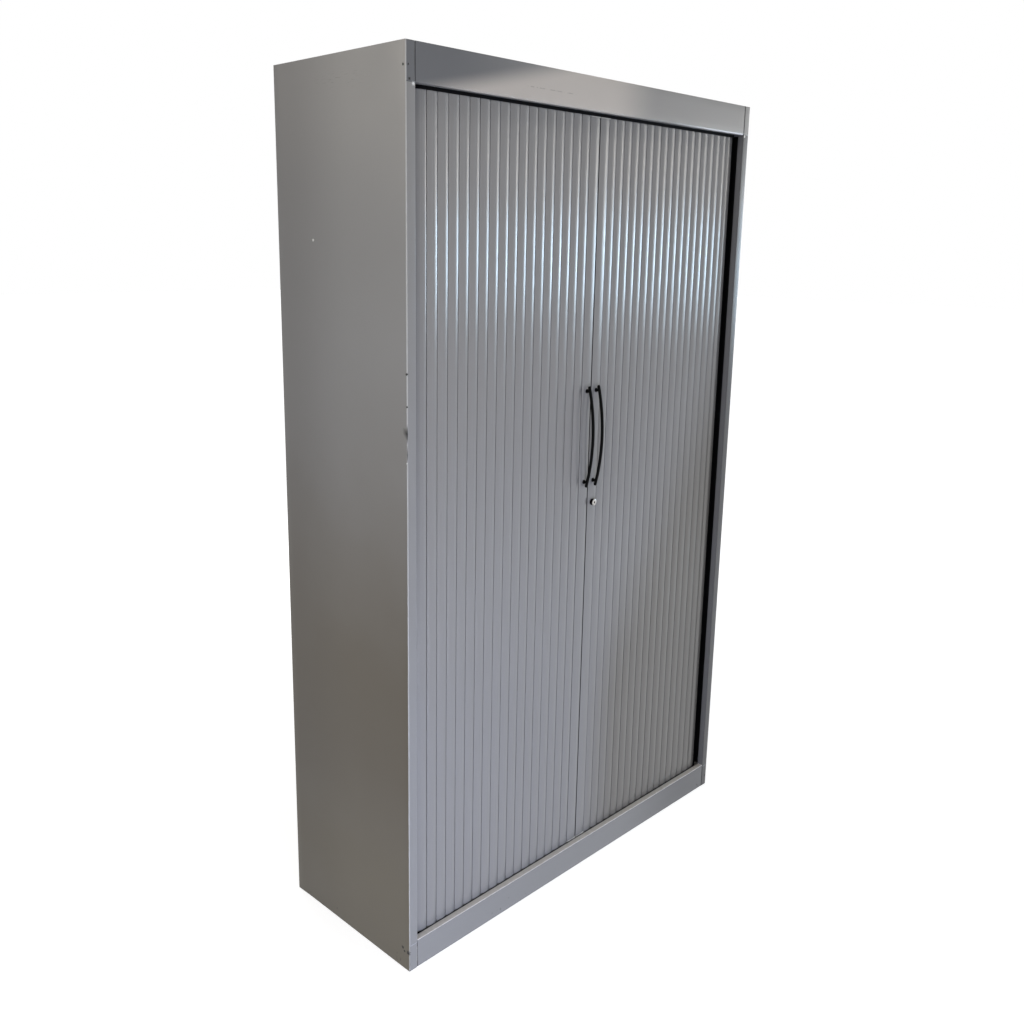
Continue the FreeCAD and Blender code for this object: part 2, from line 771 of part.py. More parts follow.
def lock():
    """Housing through the right lead rail, held by a nut, with a plug that turns a cam behind it."""
    x = lead_middle
    z = size.lock_height
    nose = lead_face - size.lock_reach
    tail = lead_back + size.lock_tail
    barrel = rod("lock_barrel", size.lock_radius, (x, nose, z), tail - nose, along="Y")
    bore = rod("lock_bore", size.plug_radius + size.plug_play, (x, nose - 1, z), tail - nose + 2, along="Y")
    housing = cut("lock_housing", barrel, bore)
    nut = doc.addObject("Part::Prism", "lock_nut_blank")
    nut.Polygon = 6
    bind(nut, "Circumradius", size.lock_radius + size.nut_wall)
    bind(nut, "Height", size.nut_height)
    nut.Placement = Placement(Vector(), Rotation(Vector(1, 0, 0), -90))
    bind(nut, "Placement.Base.x", x)
    bind(nut, "Placement.Base.y", lead_back + size.thread_play)
    bind(nut, "Placement.Base.z", z)
    nut_hole = rod("lock_nut_hole", size.lock_radius + size.thread_play, (x, lead_back - 1, z),
                   size.nut_height + 3, along="Y")
    sub_part(group("lock_body", [housing, cut("lock_nut", nut, nut_hole)]), "lock_body")

    core = rod("plug_core", size.plug_radius, (x, nose + size.seat, z), tail - nose - size.seat, along="Y")
    hub = rod("plug_hub", size.cam_hub_radius, (x, tail - 1, z),
              cam_face - tail + 1 + size.cam_thickness, along="Y")
    slot_half = size.keyway_width / 2
    keyway = box("keyway", (x - slot_half, x + slot_half), (nose - 1, nose + size.keyway_depth),
                 (z - size.plug_radius / 2, z + size.plug_radius / 2))
    sub_part(cut("lock_plug", fuse("plug_blank", [core, hub]), keyway), "lock_plug")

    y = (cam_face, cam_face + size.cam_thickness)
    blade = box("cam_blade", (x - size.cam_width / 2, x + size.cam_width / 2), y,
                (z - size.cam_width / 2, z + size.cam_length))
    hub_hole = rod("cam_hub_hole", size.cam_hub_radius + size.plug_play, (x, cam_face - 1, z),
                   size.cam_thickness + 2, along="Y")
    pin_run = x + size.pin_inset
    slack = size.pin_radius + size.pin_play
    notch = box("cam_notch", (x - size.cam_width, x - pin_offset + slack),
                (cam_face - 1, cam_face + size.cam_thickness + 1),
                (z + pin_run - slack, z + pin_run + slack))
    sub_part(cut("lock_cam", blade, group("cam_cuts", [hub_hole, notch])), "lock_cam")


pin_offset = size.cam_width / 2 - size.pin_radius / 2


def lock_keeper():
    """Plate on the back of the left lead rail with a pin that the turned cam's notch drops over."""
    z = size.lock_height
    plate = box("keeper_plate", (-(lead_outer - 3), -(lead_inner + 2)),
                (lead_back + size.thread_play, lead_back + size.thread_play + size.keeper_thickness),
                (z - size.cam_width * 1.5, z + size.cam_width * 1.5))
    start = lead_back + size.thread_play + size.keeper_thickness / 2
    pin = rod("keeper_pin", size.pin_radius, (-size.pin_inset, start, z - pin_offset),
              cam_face + size.cam_thickness + 1 - start, along="Y")
    sub_part(fuse("lock_keeper", [plate, pin]), "lock_keeper")


# ---------------------------------------------------------------- inside

standing = (deck_top + size.seat, ceiling - size.seat)


def liners():
    for side, sign in SIDES.items():
        plan = [
            (liner_half, liner_front),
            (liner_half + size.liner_fold, liner_front),
            (liner_half + size.liner_fold, liner_front + size.sheet),
            (liner_half + size.sheet, liner_front + size.sheet),
            (liner_half + size.sheet, shelf_back),
            (liner_half, shelf_back),
        ]
        upright_prism(f"side_liner_{side}", [[(x * sign, y) for x, y in plan]], standing)
    reach = liner_half + size.liner_fold
    panel("rear_liner", (-reach, reach), (rear_liner_front, rear_liner_front + size.sheet), standing)


def shelf_upright(side, place):
    """Slotted channel on the liner, its web facing the goods."""
    sign = SIDES[side]
    y0 = shelf_front if place == "front" else shelf_back - size.upright_width
    y1 = y0 + size.upright_width
    wall = size.sheet
    outer = liner_half - size.seat
    plan = [
        (upright_half, y0),
        (outer, y0),
        (outer, y0 + wall),
        (upright_half + wall, y0 + wall),
        (upright_half + wall, y1 - wall),
        (outer, y1 - wall),
        (outer, y1),
        (upright_half, y1),
    ]
    z = (size.plinth_height + size.seat, ceiling - size.seat)
    body = upright_prism(f"shelf_upright_{place}_{side}", [[(x * sign, y) for x, y in plan]], z)
    middle = (y0 + y1) / 2
    start = size.plinth_height + size.slot_start - z[0]
    slot = rectangle(middle - size.slot_width / 2, start - size.slot_height / 2,
                     middle + size.slot_width / 2, start + size.slot_height / 2)
    sketch = new_sketch(body, [slot], role="YZ_Plane",
                        raised=(upright_half - 1) if side == "right" else -(upright_half + 2))
    feature = pocket(body, sketch, size.sheet + 2)
    row = body.newObject("PartDesign::LinearPattern", f"{body.Name}_slots")
    row.Originals = [feature]
    row.Direction = (sketch, ["V_Axis"])
    row.Mode = "Spacing"
    bind(row, "Offset", size.slot_pitch)
    row.Occurrences = math.floor(((z[1] - z[0] - size.slot_start * 2) / size.slot_pitch).value) + 1
    body.Tip = row


def clip_height(number):
    """Slot height of a shelf's clips above the floor."""
    slots = size.shelf_first_slot + size.shelf_slots * (number - 1)
    return size.plinth_height + size.slot_start + size.slot_pitch * slots


def shelves():
    for number in range(1, SHELVES + 1):
        foot = clip_height(number) + size.clip_height / 2 + size.seat
        tray(f"shelf_{number}", (-shelf_half, shelf_half), (shelf_front, shelf_back),
             (foot, foot + size.shelf_thickness))


def shelf_clips():
    """Small brackets hooked through the uprights' slots, four under each shelf."""
    clips = []
    middles = (shelf_front + size.upright_width / 2, shelf_back - size.upright_width / 2)
    for number in range(1, SHELVES + 1):
        height = clip_height(number)
        for side in SIDES:
            for middle in middles:
                reach = mirrored(side, upright_half - size.clip_reach, upright_half - size.seat)
                tab = mirrored(side, upright_half - size.seat - 1, upright_half + size.sheet + 2)
                half_width = size.slot_width / 2 - size.clip_play
                half_tab = size.slot_height / 2 - size.clip_play
                y = (middle - half_width, middle + half_width)
                block = box("clip_block", reach, y,
                            (height - size.clip_height / 2, height + size.clip_height / 2))
                tongue = box("clip_tab", tab, y, (height - half_tab, height + half_tab))
                clips.append(fuse("clip", [block, tongue]))
    sub_part(group("shelf_clips", clips), "shelf_clips")


# ---------------------------------------------------------------- feet


def feet():
    """A foot and its bracket at each corner of the base."""
    lips = deck_top - size.panel_lip
    low = lips - size.bracket_drop
    brackets = []
    for side, sign in SIDES.items():
        for place, way in (("front", -1), ("back", 1)):
            x = (half - size.foot_inset) * sign
            y = (back - size.foot_setback) * way
            pad_disc = rod(f"foot_pad_{place}_{side}", size.foot_radius, (x, y, as_size(0)), size.foot_pad)
            stem = rod(f"foot_stem_{place}_{side}", size.stem_radius, (x, y, size.foot_pad / 2),
                       deck_top - size.sheet - size.stem_clear - size.foot_pad / 2)
            label = f"foot_{place}_{side}"
            sub_part(fuse(label, [pad_disc, stem]), label)

            reach = mirrored(side, inner_half - size.bracket_size, inner_half)
            wall = mirrored(side, inner_half - size.bracket_thickness, inner_half)
            span = (y - size.bracket_size / 2, y + size.bracket_size / 2)
            plate = box("bracket_plate", reach, span, (low, low + size.bracket_thickness))
            flange = box("bracket_flange", wall, span, (low, lips - size.seat))
            thread = rod("bracket_thread", size.stem_radius + size.stem_play, (x, y, low - 1),
                         size.bracket_thickness + 2)
            brackets.append(cut("bracket", fuse("bracket_blank", [plate, flange]), thread))
    sub_part(group("foot_brackets", brackets), "foot_brackets")


# ---------------------------------------------------------------- assembly

for side in SIDES:
    side_panel(side)
carcass_panels()
fascia_and_plinth()
corner_pieces("fascia_corners", fold, (fascia_foot, size.height),
              size.height - size.panel_lip - size.seam)
plinth_corner_head = stile_foot - size.seam
corner_pieces("plinth_corners", fold, (as_size(0), plinth_corner_head), plinth_corner_head)
track("lower_track", lower_track, "up")
track("upper_track", upper_track, "down")
for side in SIDES:
    curtain(side)
    lead_rail(side)
    lead_glides(side)
    handle(side)
    handle_screws(side)
    for place in ("front", "rear"):
        shelf_upright(side, place)
lock()
lock_keeper()
liners()
shelves()
shelf_clips()
feet()
doc.recompute()

for thing in doc.Objects:
    faults = [state for state in thing.State if state in ("Invalid", "Error")]
    if faults:
        raise RuntimeError(f"{thing.Label} is {faults}")
for thing in parts:
    if thing.Shape.isNull() or not thing.Shape.isValid() or not thing.Shape.Solids:
        raise RuntimeError(f"{thing.Label} has no valid solid")

os.makedirs("parts", exist_ok=True)
for thing in parts:
    thing.Shape.exportStep(f"parts/{thing.Label}.step")
    box_of = thing.Shape.BoundBox
    print(f"{thing.Label}: {len(thing.Shape.Solids)} solid(s), {thing.Shape.Volume / 1000:.1f} cm3, "
          f"{box_of.XLength:.1f} x {box_of.YLength:.1f} x {box_of.ZLength:.1f}")
print(len(parts), "sub-parts")
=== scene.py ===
"""Looks of the roll front cupboard: rounded sheet panels, slatted curtains, handles, lock, paint and light.

Metres, in the CAD frame: X to the right along the front, Y to the back, Z up, origin under the middle.
"""

import json
import math
import random

import bmesh
import bpy
from mathutils import Matrix, Vector

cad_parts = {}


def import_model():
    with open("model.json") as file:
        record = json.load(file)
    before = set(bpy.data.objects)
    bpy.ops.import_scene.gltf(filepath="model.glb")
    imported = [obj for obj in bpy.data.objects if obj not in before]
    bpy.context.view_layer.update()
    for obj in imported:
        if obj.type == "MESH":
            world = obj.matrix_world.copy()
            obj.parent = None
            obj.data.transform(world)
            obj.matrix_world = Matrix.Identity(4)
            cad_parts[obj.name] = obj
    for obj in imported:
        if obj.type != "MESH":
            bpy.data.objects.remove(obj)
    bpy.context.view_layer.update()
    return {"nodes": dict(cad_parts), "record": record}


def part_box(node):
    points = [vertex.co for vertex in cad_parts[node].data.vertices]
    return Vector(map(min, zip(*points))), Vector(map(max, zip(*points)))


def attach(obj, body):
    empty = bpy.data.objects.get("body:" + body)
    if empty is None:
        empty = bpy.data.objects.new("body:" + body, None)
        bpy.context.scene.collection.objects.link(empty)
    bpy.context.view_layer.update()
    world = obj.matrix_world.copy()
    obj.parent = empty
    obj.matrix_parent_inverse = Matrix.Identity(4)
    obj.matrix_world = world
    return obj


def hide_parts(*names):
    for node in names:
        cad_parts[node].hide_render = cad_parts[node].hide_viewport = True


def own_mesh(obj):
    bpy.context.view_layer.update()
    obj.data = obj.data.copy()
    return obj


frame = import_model()
MM = 0.001

# ---------------------------------------------------------------- sizes, from the frame where it has them

SIDES = {"left": -1, "right": 1}
side_low, side_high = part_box("side_panel_right")
fascia_low, fascia_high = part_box("fascia")
plinth_low, plinth_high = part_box("plinth_front")
rail_low, rail_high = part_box("lead_rail_right")
slat_low, slat_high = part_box("slats_right_1")
handle_low, handle_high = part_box("handle_right")
lock_low, lock_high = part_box("lock_body")

HALF = side_high.x
FRONT = side_low.y
BACK = side_high.y
HEIGHT = side_high.z
OPENING = side_low.x
SHEET = 1.0 * MM
SEAM = 0.4 * MM
FASCIA_FOOT = fascia_low.z
LEDGE = plinth_high.z
FOLD = fascia_high.y - FRONT
PLINTH_FOLD = 15 * MM
STILE_FOOT = LEDGE - 5 * MM
BACK_FLANGE = 20 * MM

PITCH = 29.1 * MM
SLAT_DEPTH = 6 * MM
SLAT_FLANK = 2.5 * MM
SLAT_CROWN = 2.4 * MM
CURTAIN_Y = slat_high.y - SLAT_DEPTH
CURTAIN_RADIUS = 52 * MM
CURTAIN_X = HALF - SHEET - 6.2 * MM
FIRST_HINGE = rail_high.x + SEAM
GROUPS = (3, 3, 3, 3, 3, 2)
CORNER_SLATS = 4
TAIL_SLATS = 4
# Where the flat run ends, and the share of the free width that gathered slats fill.
FLAT_RUN, GATHER = 529.5 * MM, 0.92

RAIL_MIDDLE = (rail_low.x + rail_high.x) / 2
RAIL_FACE = rail_low.y
RAIL_CROWN = 2.0 * MM
HANDLE_MIDDLE = (handle_low.z + handle_high.z) / 2
LOCK_HEIGHT = 993 * MM

# ---------------------------------------------------------------- node materials


class Paint:
    """One node material, with short ways to add the nodes that several materials use."""

    def __init__(self, name):
        self.material = bpy.data.materials.new(name)
        self.material.use_nodes = True
        self.tree = self.material.node_tree
        self.shader = self.tree.nodes["Principled BSDF"]
        self.place = self.node("ShaderNodeTexCoord").outputs["Object"]

    def feed(self, socket, value):
        """Links a socket to another node's output, or sets it to a number or colour."""
        if isinstance(value, bpy.types.NodeSocket):
            self.tree.links.new(value, socket)
        else:
            socket.default_value = value

    def node(self, kind, inputs=None, **settings):
        """A new node with its settings, and its inputs by name or index."""
        node = self.tree.nodes.new(kind)
        for key, value in settings.items():
            setattr(node, key, value)
        for key, value in (inputs or {}).items():
            self.feed(node.inputs[key], value)
        return node

    def set(self, **values):
        """Sets shader sockets: names with underscores for spaces."""
        for key, value in values.items():
            self.feed(self.shader.inputs[key.replace("_", " ")], value)

    def noise(self, scale, detail=3.0, stretch=(1, 1, 1), rough=0.5, shift=0.0):
        place = self.node("ShaderNodeMapping", {"Vector": self.place, "Scale": stretch,
                                                "Location": (shift, shift * 1.7, shift * 0.6)})
        return self.node("ShaderNodeTexNoise", {"Vector": place.outputs["Vector"], "Scale": scale,
                                                "Detail": detail, "Roughness": rough}).outputs["Fac"]

    def spread(self, noise, low, high):
        """Stretches the range that a noise mostly keeps to over two values."""
        return self.remap(noise, 0.3, 0.7, low, high)

    def math(self, operation, a, b=0.5, clamp=False):
        node = self.node("ShaderNodeMath", {0: a, 1: b}, operation=operation, use_clamp=clamp)
        return node.outputs["Value"]

    def product(self, *masks):
        """The masks multiplied together."""
        result = masks[0]
        for mask in masks[1:]:
            result = self.math("MULTIPLY", result, mask)
        return result

    def either(self, first, second):
        return self.math("MAXIMUM", first, second)

    def remap(self, value, low, high, to_low=0.0, to_high=1.0, smooth=False):
        kind = "SMOOTHSTEP" if smooth else "LINEAR"
        return self.node("ShaderNodeMapRange", {"Value": value, "From Min": low, "From Max": high,
                                                "To Min": to_low, "To Max": to_high},
                         interpolation_type=kind).outputs["Result"]

    def axis(self, letter):
        return self.node("ShaderNodeSeparateXYZ", {"Vector": self.place}).outputs[letter]

    def near(self, letter, centre, width):
        """1 at a plane, fading to 0 at a distance from it."""
        away = self.math("ABSOLUTE", self.math("SUBTRACT", self.axis(letter), centre))
        return self.remap(away, 0.0, width, 1.0, 0.0, smooth=True)

    def mix(self, factor, first, second, blend="MIX"):
        """The first colour with a share of the second; the indices are the colour sockets of a Mix node."""
        node = self.node("ShaderNodeMix", {0: factor, 6: first, 7: second},
                         data_type="RGBA", blend_type=blend)
        return node.outputs[2]

    def cover(self, mask, colour, shade):
        """The colour with another one laid over it where a mask is 1."""
        return self.mix(mask, colour, (*shade, 1.0))

    def tint(self, mask, colour, shade):
        """The colour multiplied by another one where a mask is 1."""
        return self.mix(mask, colour, (*shade, 1.0), blend="MULTIPLY")

    def spots(self, balls):
        """1 on small ragged spots, given as centres and radii."""
        ragged = self.math("SUBTRACT", self.noise(900.0, detail=2.0, shift=17.0), 0.5)
        total = None
        for centre, radius in balls:
            away = self.node("ShaderNodeVectorMath", {0: self.place, 1: centre}, operation="DISTANCE")
            away = self.math("ADD", away.outputs["Value"], self.product(ragged, radius * 2.4))
            spot = self.remap(away, radius * 0.75, radius, 1.0, 0.0)
            total = spot if total is None else self.either(total, spot)
        return total

    def bump(self, height, strength, distance):
        return self.node("ShaderNodeBump", {"Height": height, "Strength": strength,
                                            "Distance": distance}).outputs["Normal"]


def grey(level, warm=0.0):
    """A near grey, a little warmer or cooler."""
    return (level * (1 + warm), level, level * (1 - warm), 1.0)


# Chips in the carcass paint, as centre and radius. The two pale spots at the tops of the stiles are painted
# highlights.
DARK_CHIPS = [
    ((-0.600, -0.1940, 0.0518), 0.0040), ((-0.600, -0.2002, 0.0448), 0.0030),
    ((-0.600, -0.2130, 0.0466), 0.0055), ((-0.600, -0.2100, 1.9365), 0.0028),
    ((-0.594, -0.2175, 1.9364), 0.0026), ((-0.591, -0.2175, 1.9115), 0.0032),
    ((-0.600, -0.2160, 1.3602), 0.0030), ((-0.600, -0.2165, 1.2950), 0.0022),
    ((0.594, -0.2175, 0.0300), 0.0030),
]
PALE_CHIPS_AND_HIGHLIGHTS = [
    ((-0.600, 0.0875, 1.6174), 0.0028), ((-0.5815, -0.2175, 1.9042), 0.0038),
    ((0.5815, -0.2175, 1.9042), 0.0034), ((-0.600, -0.2160, 1.1800), 0.0016),
]
SCRATCH_HEIGHT, SCRATCH_SPAN = 1.9352, (-0.28, -0.12)
# Slants of two tone edges, the fascia's painted reflection and the curtains' painted shade, as distance
# across for each metre of height.
REFLECTION_SLANT, CURTAIN_SHADE_SLANT = 4.5, 0.75

# Colours that cover the paint, or multiply it.
# Painted shade, near black, in the curtains' gaps and along the lead rails' inner edges.
SEAM_PAINTED_SHADE = (0.012, 0.011, 0.010)
CHIP_DARK, PALE_CHIP_AND_HIGHLIGHT = (0.014, 0.012, 0.011), (0.75, 0.75, 0.74)
# Painted shade on the lower right of the curtains.
CURTAIN_SHADE = (0.71, 0.68, 0.62)
# Painted shade low on the sides and towards their rear, and a painted reflection at their foot.
SIDE_LOW_SHADE, REAR_SHADE, WARM_FOOT_REFLECTION = (0.43, 0.36, 0.25), (0.74, 0.73, 0.73), (1.0, 0.96, 0.80)
# Painted shade, reflection and highlight on the fascia.
FASCIA_LEFT_SHADE, FASCIA_REFLECTION, FASCIA_FOOT_HIGHLIGHT = (0.50, 0.52, 0.56), (0.62, 0.57, 0.52), (0.95, 0.95, 0.97)
SCRATCH_DARK, FINE_SCRATCH = (0.16, 0.14, 0.13), (0.12, 0.12, 0.12)
RIGHT_SHADE, STILE_SHADE = (0.65, 0.65, 0.66), (0.50, 0.50, 0.50)
# Dust with painted light from above on the ledge, and a painted highlight on its front edge.
DUST_AND_TOP_LIGHT, LEDGE_NOSE_HIGHLIGHT = (0.68, 0.64, 0.59), (0.95, 0.91, 0.87)
# A painted highlight on the stiles' bends, and paler paint at the stiles' feet.
BEND_HIGHLIGHT, PALE_STILE_FOOT = (0.60, 0.60, 0.59), (0.60, 0.61, 0.66)
# Painted shade in the sheets' gaps, inside the stiles, and on the lock's barrel and key hole.
GAP_PAINTED_SHADE, INNER_PAINTED_SHADE, LOCK_PAINTED_SHADE = (0.02, 0.02, 0.02), (0.004, 0.004, 0.004), (0.012, 0.008, 0.010)


def silver_paint(name, level, warm, metal, gloss, worn=True, grain=900.0, peel=0.035, aged_with_painted_light=False,
                 seam_depth=None, dark_edge=None):
    """Silver stoving paint: flake grain, orange peel, and faint clouds and smudges.

    Worn paint also has chips. Paint with a seam depth is a curtain's: painted shade, near black, in the gaps
    behind that depth.
    """
    paint = Paint(name)
    clouds = paint.noise(2.3, detail=2.0, shift=3.0)
    flakes = paint.noise(grain, detail=1.0, shift=7.0)
    tone = paint.math("ADD", paint.spread(clouds, -0.05, 0.05), paint.spread(flakes, -0.05, 0.05))
    dark, light = grey(level * 0.80, warm * 1.6), grey(level * 1.20, warm * 0.4)
    colour = paint.mix(paint.math("ADD", tone, 0.5), dark, light)
    smudge = paint.noise(7.0, detail=4.0, rough=0.6, shift=11.0)
    rough = paint.spread(smudge, gloss - 0.03, gloss + 0.05)
    height = paint.product(paint.noise(260.0, detail=1.0), peel)
    # Aged paint gets wear, dust and painted light.
    if aged_with_painted_light:
        colour = wear_and_painted_light(paint, colour)
    if seam_depth is not None:
        # Painted shade in the gaps, with less shine and no metal there.
        gap_shade = seam_shade_mask(paint, seam_depth, dark_edge)
        colour = shade_lower_right(paint, paint.cover(gap_shade, colour, SEAM_PAINTED_SHADE))
        rough = paint.math("ADD", rough, paint.product(gap_shade, 0.7))
        metal = paint.remap(gap_shade, 0.0, 1.0, metal, 0.0)
        paint.set(Specular_IOR_Level=paint.remap(gap_shade, 0.0, 1.0, 0.5, 0.02))
    if worn:
        scuff = paint.noise(60.0, detail=6.0, rough=0.7, stretch=(1, 1, 0.35), shift=5.0)
        low = paint.remap(paint.axis("Z"), 0.0, 0.055, 1.0, 0.0)
        chips = paint.remap(paint.math("ADD", scuff, paint.product(low, 0.10)), 0.72, 0.735)
        chips = paint.either(chips, paint.spots(DARK_CHIPS))
        colour = paint.cover(chips, colour, CHIP_DARK)
        # Pale chips, and painted highlights at the stile tops.
        colour = paint.cover(paint.spots(PALE_CHIPS_AND_HIGHLIGHTS), colour, PALE_CHIP_AND_HIGHLIGHT)
        rough = paint.math("ADD", rough, paint.product(chips, 0.25))
        height = paint.math("SUBTRACT", height, paint.product(chips, 0.5))
    paint.set(Base_Color=colour, Metallic=metal, Roughness=rough, Normal=paint.bump(height, 0.6, 0.0006))
    return paint.material


def seam_shade_mask(paint, seam_depth, dark_edge):
    """Mask of painted shade: 1 behind a depth over the flat run of a curtain, and nearer the middle than its
    dark edge.
    """
    out = paint.math("ABSOLUTE", paint.axis("X"))
    flat = paint.remap(out, FLAT_RUN + 0.3 * MM, FLAT_RUN - 0.3 * MM)
    gap_shade = paint.product(flat, paint.remap(paint.axis("Y"), seam_depth, seam_depth + 0.5 * MM))
    if dark_edge is None:
        return gap_shade
    return paint.either(gap_shade, paint.remap(out, dark_edge + 0.3 * MM, dark_edge))


def shade_lower_right(paint, colour):
    """Painted shade on the lower right of the curtains: a little darker and browner, up to a slanted line."""
    slope = paint.math("SUBTRACT", paint.axis("X"), paint.product(paint.axis("Z"), CURTAIN_SHADE_SLANT))
    lower_right_shade = paint.product(paint.remap(slope, -0.53, -0.17, smooth=True),
                         paint.remap(paint.axis("X"), 0.0, 0.15))
    return paint.tint(lower_right_shade, colour, CURTAIN_SHADE)


class Zones:
    """Positions on the carcass, and masks of the places that several of its layers share."""

    def __init__(self, paint):
        self.paint = paint
        self.across, self.height, self.depth = paint.axis("X"), paint.axis("Z"), paint.axis("Y")
        self.out = paint.math("ABSOLUTE", self.across)
        self.side = paint.remap(self.out, HALF - 2.5 * MM, HALF - 1.5 * MM)
        self.fore = paint.remap(self.depth, FRONT + 6 * MM, FRONT + 4 * MM)
        self.above = paint.remap(self.height, FASCIA_FOOT - 1 * MM, FASCIA_FOOT)
        self.below = paint.remap(self.height, FASCIA_FOOT, FASCIA_FOOT - 1 * MM)

    def halves(self, left, right):
        """One value on the left half and another on the right."""
        return self.paint.remap(self.across, -0.1, 0.1, left, right)


def wear_and_painted_light(paint, colour):
    """The carcass paint with its layers of painted shade, reflection and highlight, dust, scratches and wear.
    """
    zones = Zones(paint)
    for layer in (side_painted_shade, fascia_light_and_scratch, right_end_shade, ledge_dust_and_light, bend_highlight_and_pale_foot, painted_shade_in_gaps,
                  fine_scratches):
        colour = layer(paint, zones, colour)
    return colour


def side_painted_shade(paint, zones, colour):
    """Painted shade low on the sides, browner, and towards the rear, and a yellower painted reflection at the
    foot; less of all on the right side.
    """
    clouds = paint.noise(3.0, detail=3.0, shift=23.0)
    level = paint.math("ADD", zones.height, paint.spread(clouds, -0.05, 0.05))
    side_tone = paint.product(zones.side, zones.halves(1.0, 0.4))
    low_shade = paint.product(side_tone, paint.remap(level, 0.60, 1.45, 1.0, 0.0, smooth=True),
                         paint.remap(zones.height, 0.25, 0.50, 0.82, 1.0, smooth=True))
    colour = paint.tint(low_shade, colour, SIDE_LOW_SHADE)
    rear = paint.product(side_tone, paint.remap(zones.depth, -0.05, 0.20, smooth=True))
    colour = paint.tint(rear, colour, REAR_SHADE)
    foot_reflection = paint.product(side_tone, paint.remap(zones.height, 0.50, 0.15, smooth=True))
    return paint.tint(foot_reflection, colour, WARM_FOOT_REFLECTION)


def fascia_light_and_scratch(paint, zones, colour):
    """On the fascia: painted shade on its left third, a warm painted reflection, a painted highlight along
    the foot at the right, and a broken scratch.
    """
    head = paint.product(paint.math("SUBTRACT", zones.above, zones.side, clamp=True), zones.fore)
    left = paint.remap(zones.across, -0.10, -0.50, smooth=True)
    colour = paint.tint(paint.product(head, left), colour, FASCIA_LEFT_SHADE)
    slant = paint.math("SUBTRACT", zones.across, paint.product(zones.height, REFLECTION_SLANT))
    slant = paint.math("ADD", slant, REFLECTION_SLANT * FASCIA_FOOT)
    reflection_patch = paint.product(head, paint.remap(slant, -0.60, -0.40, smooth=True),
                          paint.remap(zones.across, 0.20, 0.0, 0.12, 1.0, smooth=True), 0.80)
    colour = paint.cover(reflection_patch, colour, FASCIA_REFLECTION)
    # A painted highlight along the fascia's foot at the right.
    foot = paint.product(paint.remap(zones.height, FASCIA_FOOT + 3.4 * MM, FASCIA_FOOT + 2.7 * MM),
                         paint.remap(zones.across, 0.25, 0.45),
                         paint.remap(zones.out, OPENING, OPENING - 1 * MM), head)
    colour = paint.cover(foot, colour, FASCIA_FOOT_HIGHLIGHT)
    start, end = SCRATCH_SPAN
    broken = paint.remap(paint.noise(160.0, detail=2.0, shift=51.0), 0.46, 0.54)
    scratch = paint.product(paint.near("Z", SCRATCH_HEIGHT, 1.6 * MM),
                            paint.remap(zones.across, start - 0.01, start + 0.01),
                            paint.remap(zones.across, end + 0.01, end - 0.01), head, broken, 0.45)
    return paint.cover(scratch, colour, SCRATCH_DARK)


def right_end_shade(paint, zones, colour):
    """The right end of the plinth and the face of the right stile darker."""
    shade = paint.product(paint.remap(zones.across, 0.15, 0.50, smooth=True), zones.below,
                          paint.remap(zones.depth, FRONT + FOLD + 3 * MM, FRONT + FOLD + 2 * MM))
    shade = paint.math("SUBTRACT", shade, zones.side, clamp=True)
    colour = paint.tint(shade, colour, RIGHT_SHADE)
    stile = paint.product(shade, paint.remap(zones.out, OPENING - 1 * MM, OPENING),
                          paint.remap(zones.depth, FRONT + 2.5 * MM, FRONT + 1.5 * MM))
    return paint.tint(stile, colour, STILE_SHADE)


def ledge_dust_and_light(paint, zones, colour):
    """Pale dust on the plinth's ledge, partly painted light from above, and a painted highlight along the
    ledge's front edge.
    """
    ledge = paint.product(paint.remap(zones.height, LEDGE - 1.0 * MM, LEDGE - 0.4 * MM),
                          paint.remap(zones.height, LEDGE + 0.6 * MM, LEDGE + 0.3 * MM),
                          paint.remap(zones.out, OPENING + 0.4 * MM, OPENING),
                          paint.remap(zones.depth, FRONT + FOLD - 1.2 * MM, FRONT + FOLD - 2.0 * MM))
    dust = paint.spread(paint.noise(90.0, detail=4.0, shift=41.0), 0.65, 0.90)
    colour = paint.cover(paint.product(ledge, dust), colour, DUST_AND_TOP_LIGHT)
    # A painted highlight along the ledge's front edge.
    nose = paint.product(ledge, paint.remap(zones.depth, FRONT + 1.6 * MM, FRONT + 0.8 * MM))
    return paint.cover(nose, colour, LEDGE_NOSE_HIGHLIGHT)


def bend_highlight_and_pale_foot(paint, zones, colour):
    """A painted highlight on the stiles' outer bends, and paler paint where the stiles end on the plinth."""
    bend = paint.product(paint.remap(zones.out, HALF - 2.2 * MM, HALF - 1.2 * MM),
                         paint.remap(zones.depth, FRONT + 2.0 * MM, FRONT + 1.2 * MM), 0.85)
    colour = paint.cover(bend, colour, BEND_HIGHLIGHT)
    joint = paint.product(paint.near("Z", STILE_FOOT, 1.4 * MM),
                          paint.remap(zones.out, OPENING, OPENING + 1 * MM),
                          paint.remap(zones.depth, FRONT + 1.5 * MM, FRONT + 1.2 * MM),
                          paint.remap(zones.out, HALF - 2.0 * MM, HALF - 2.5 * MM), 0.6)
    return paint.cover(joint, colour, PALE_STILE_FOOT)


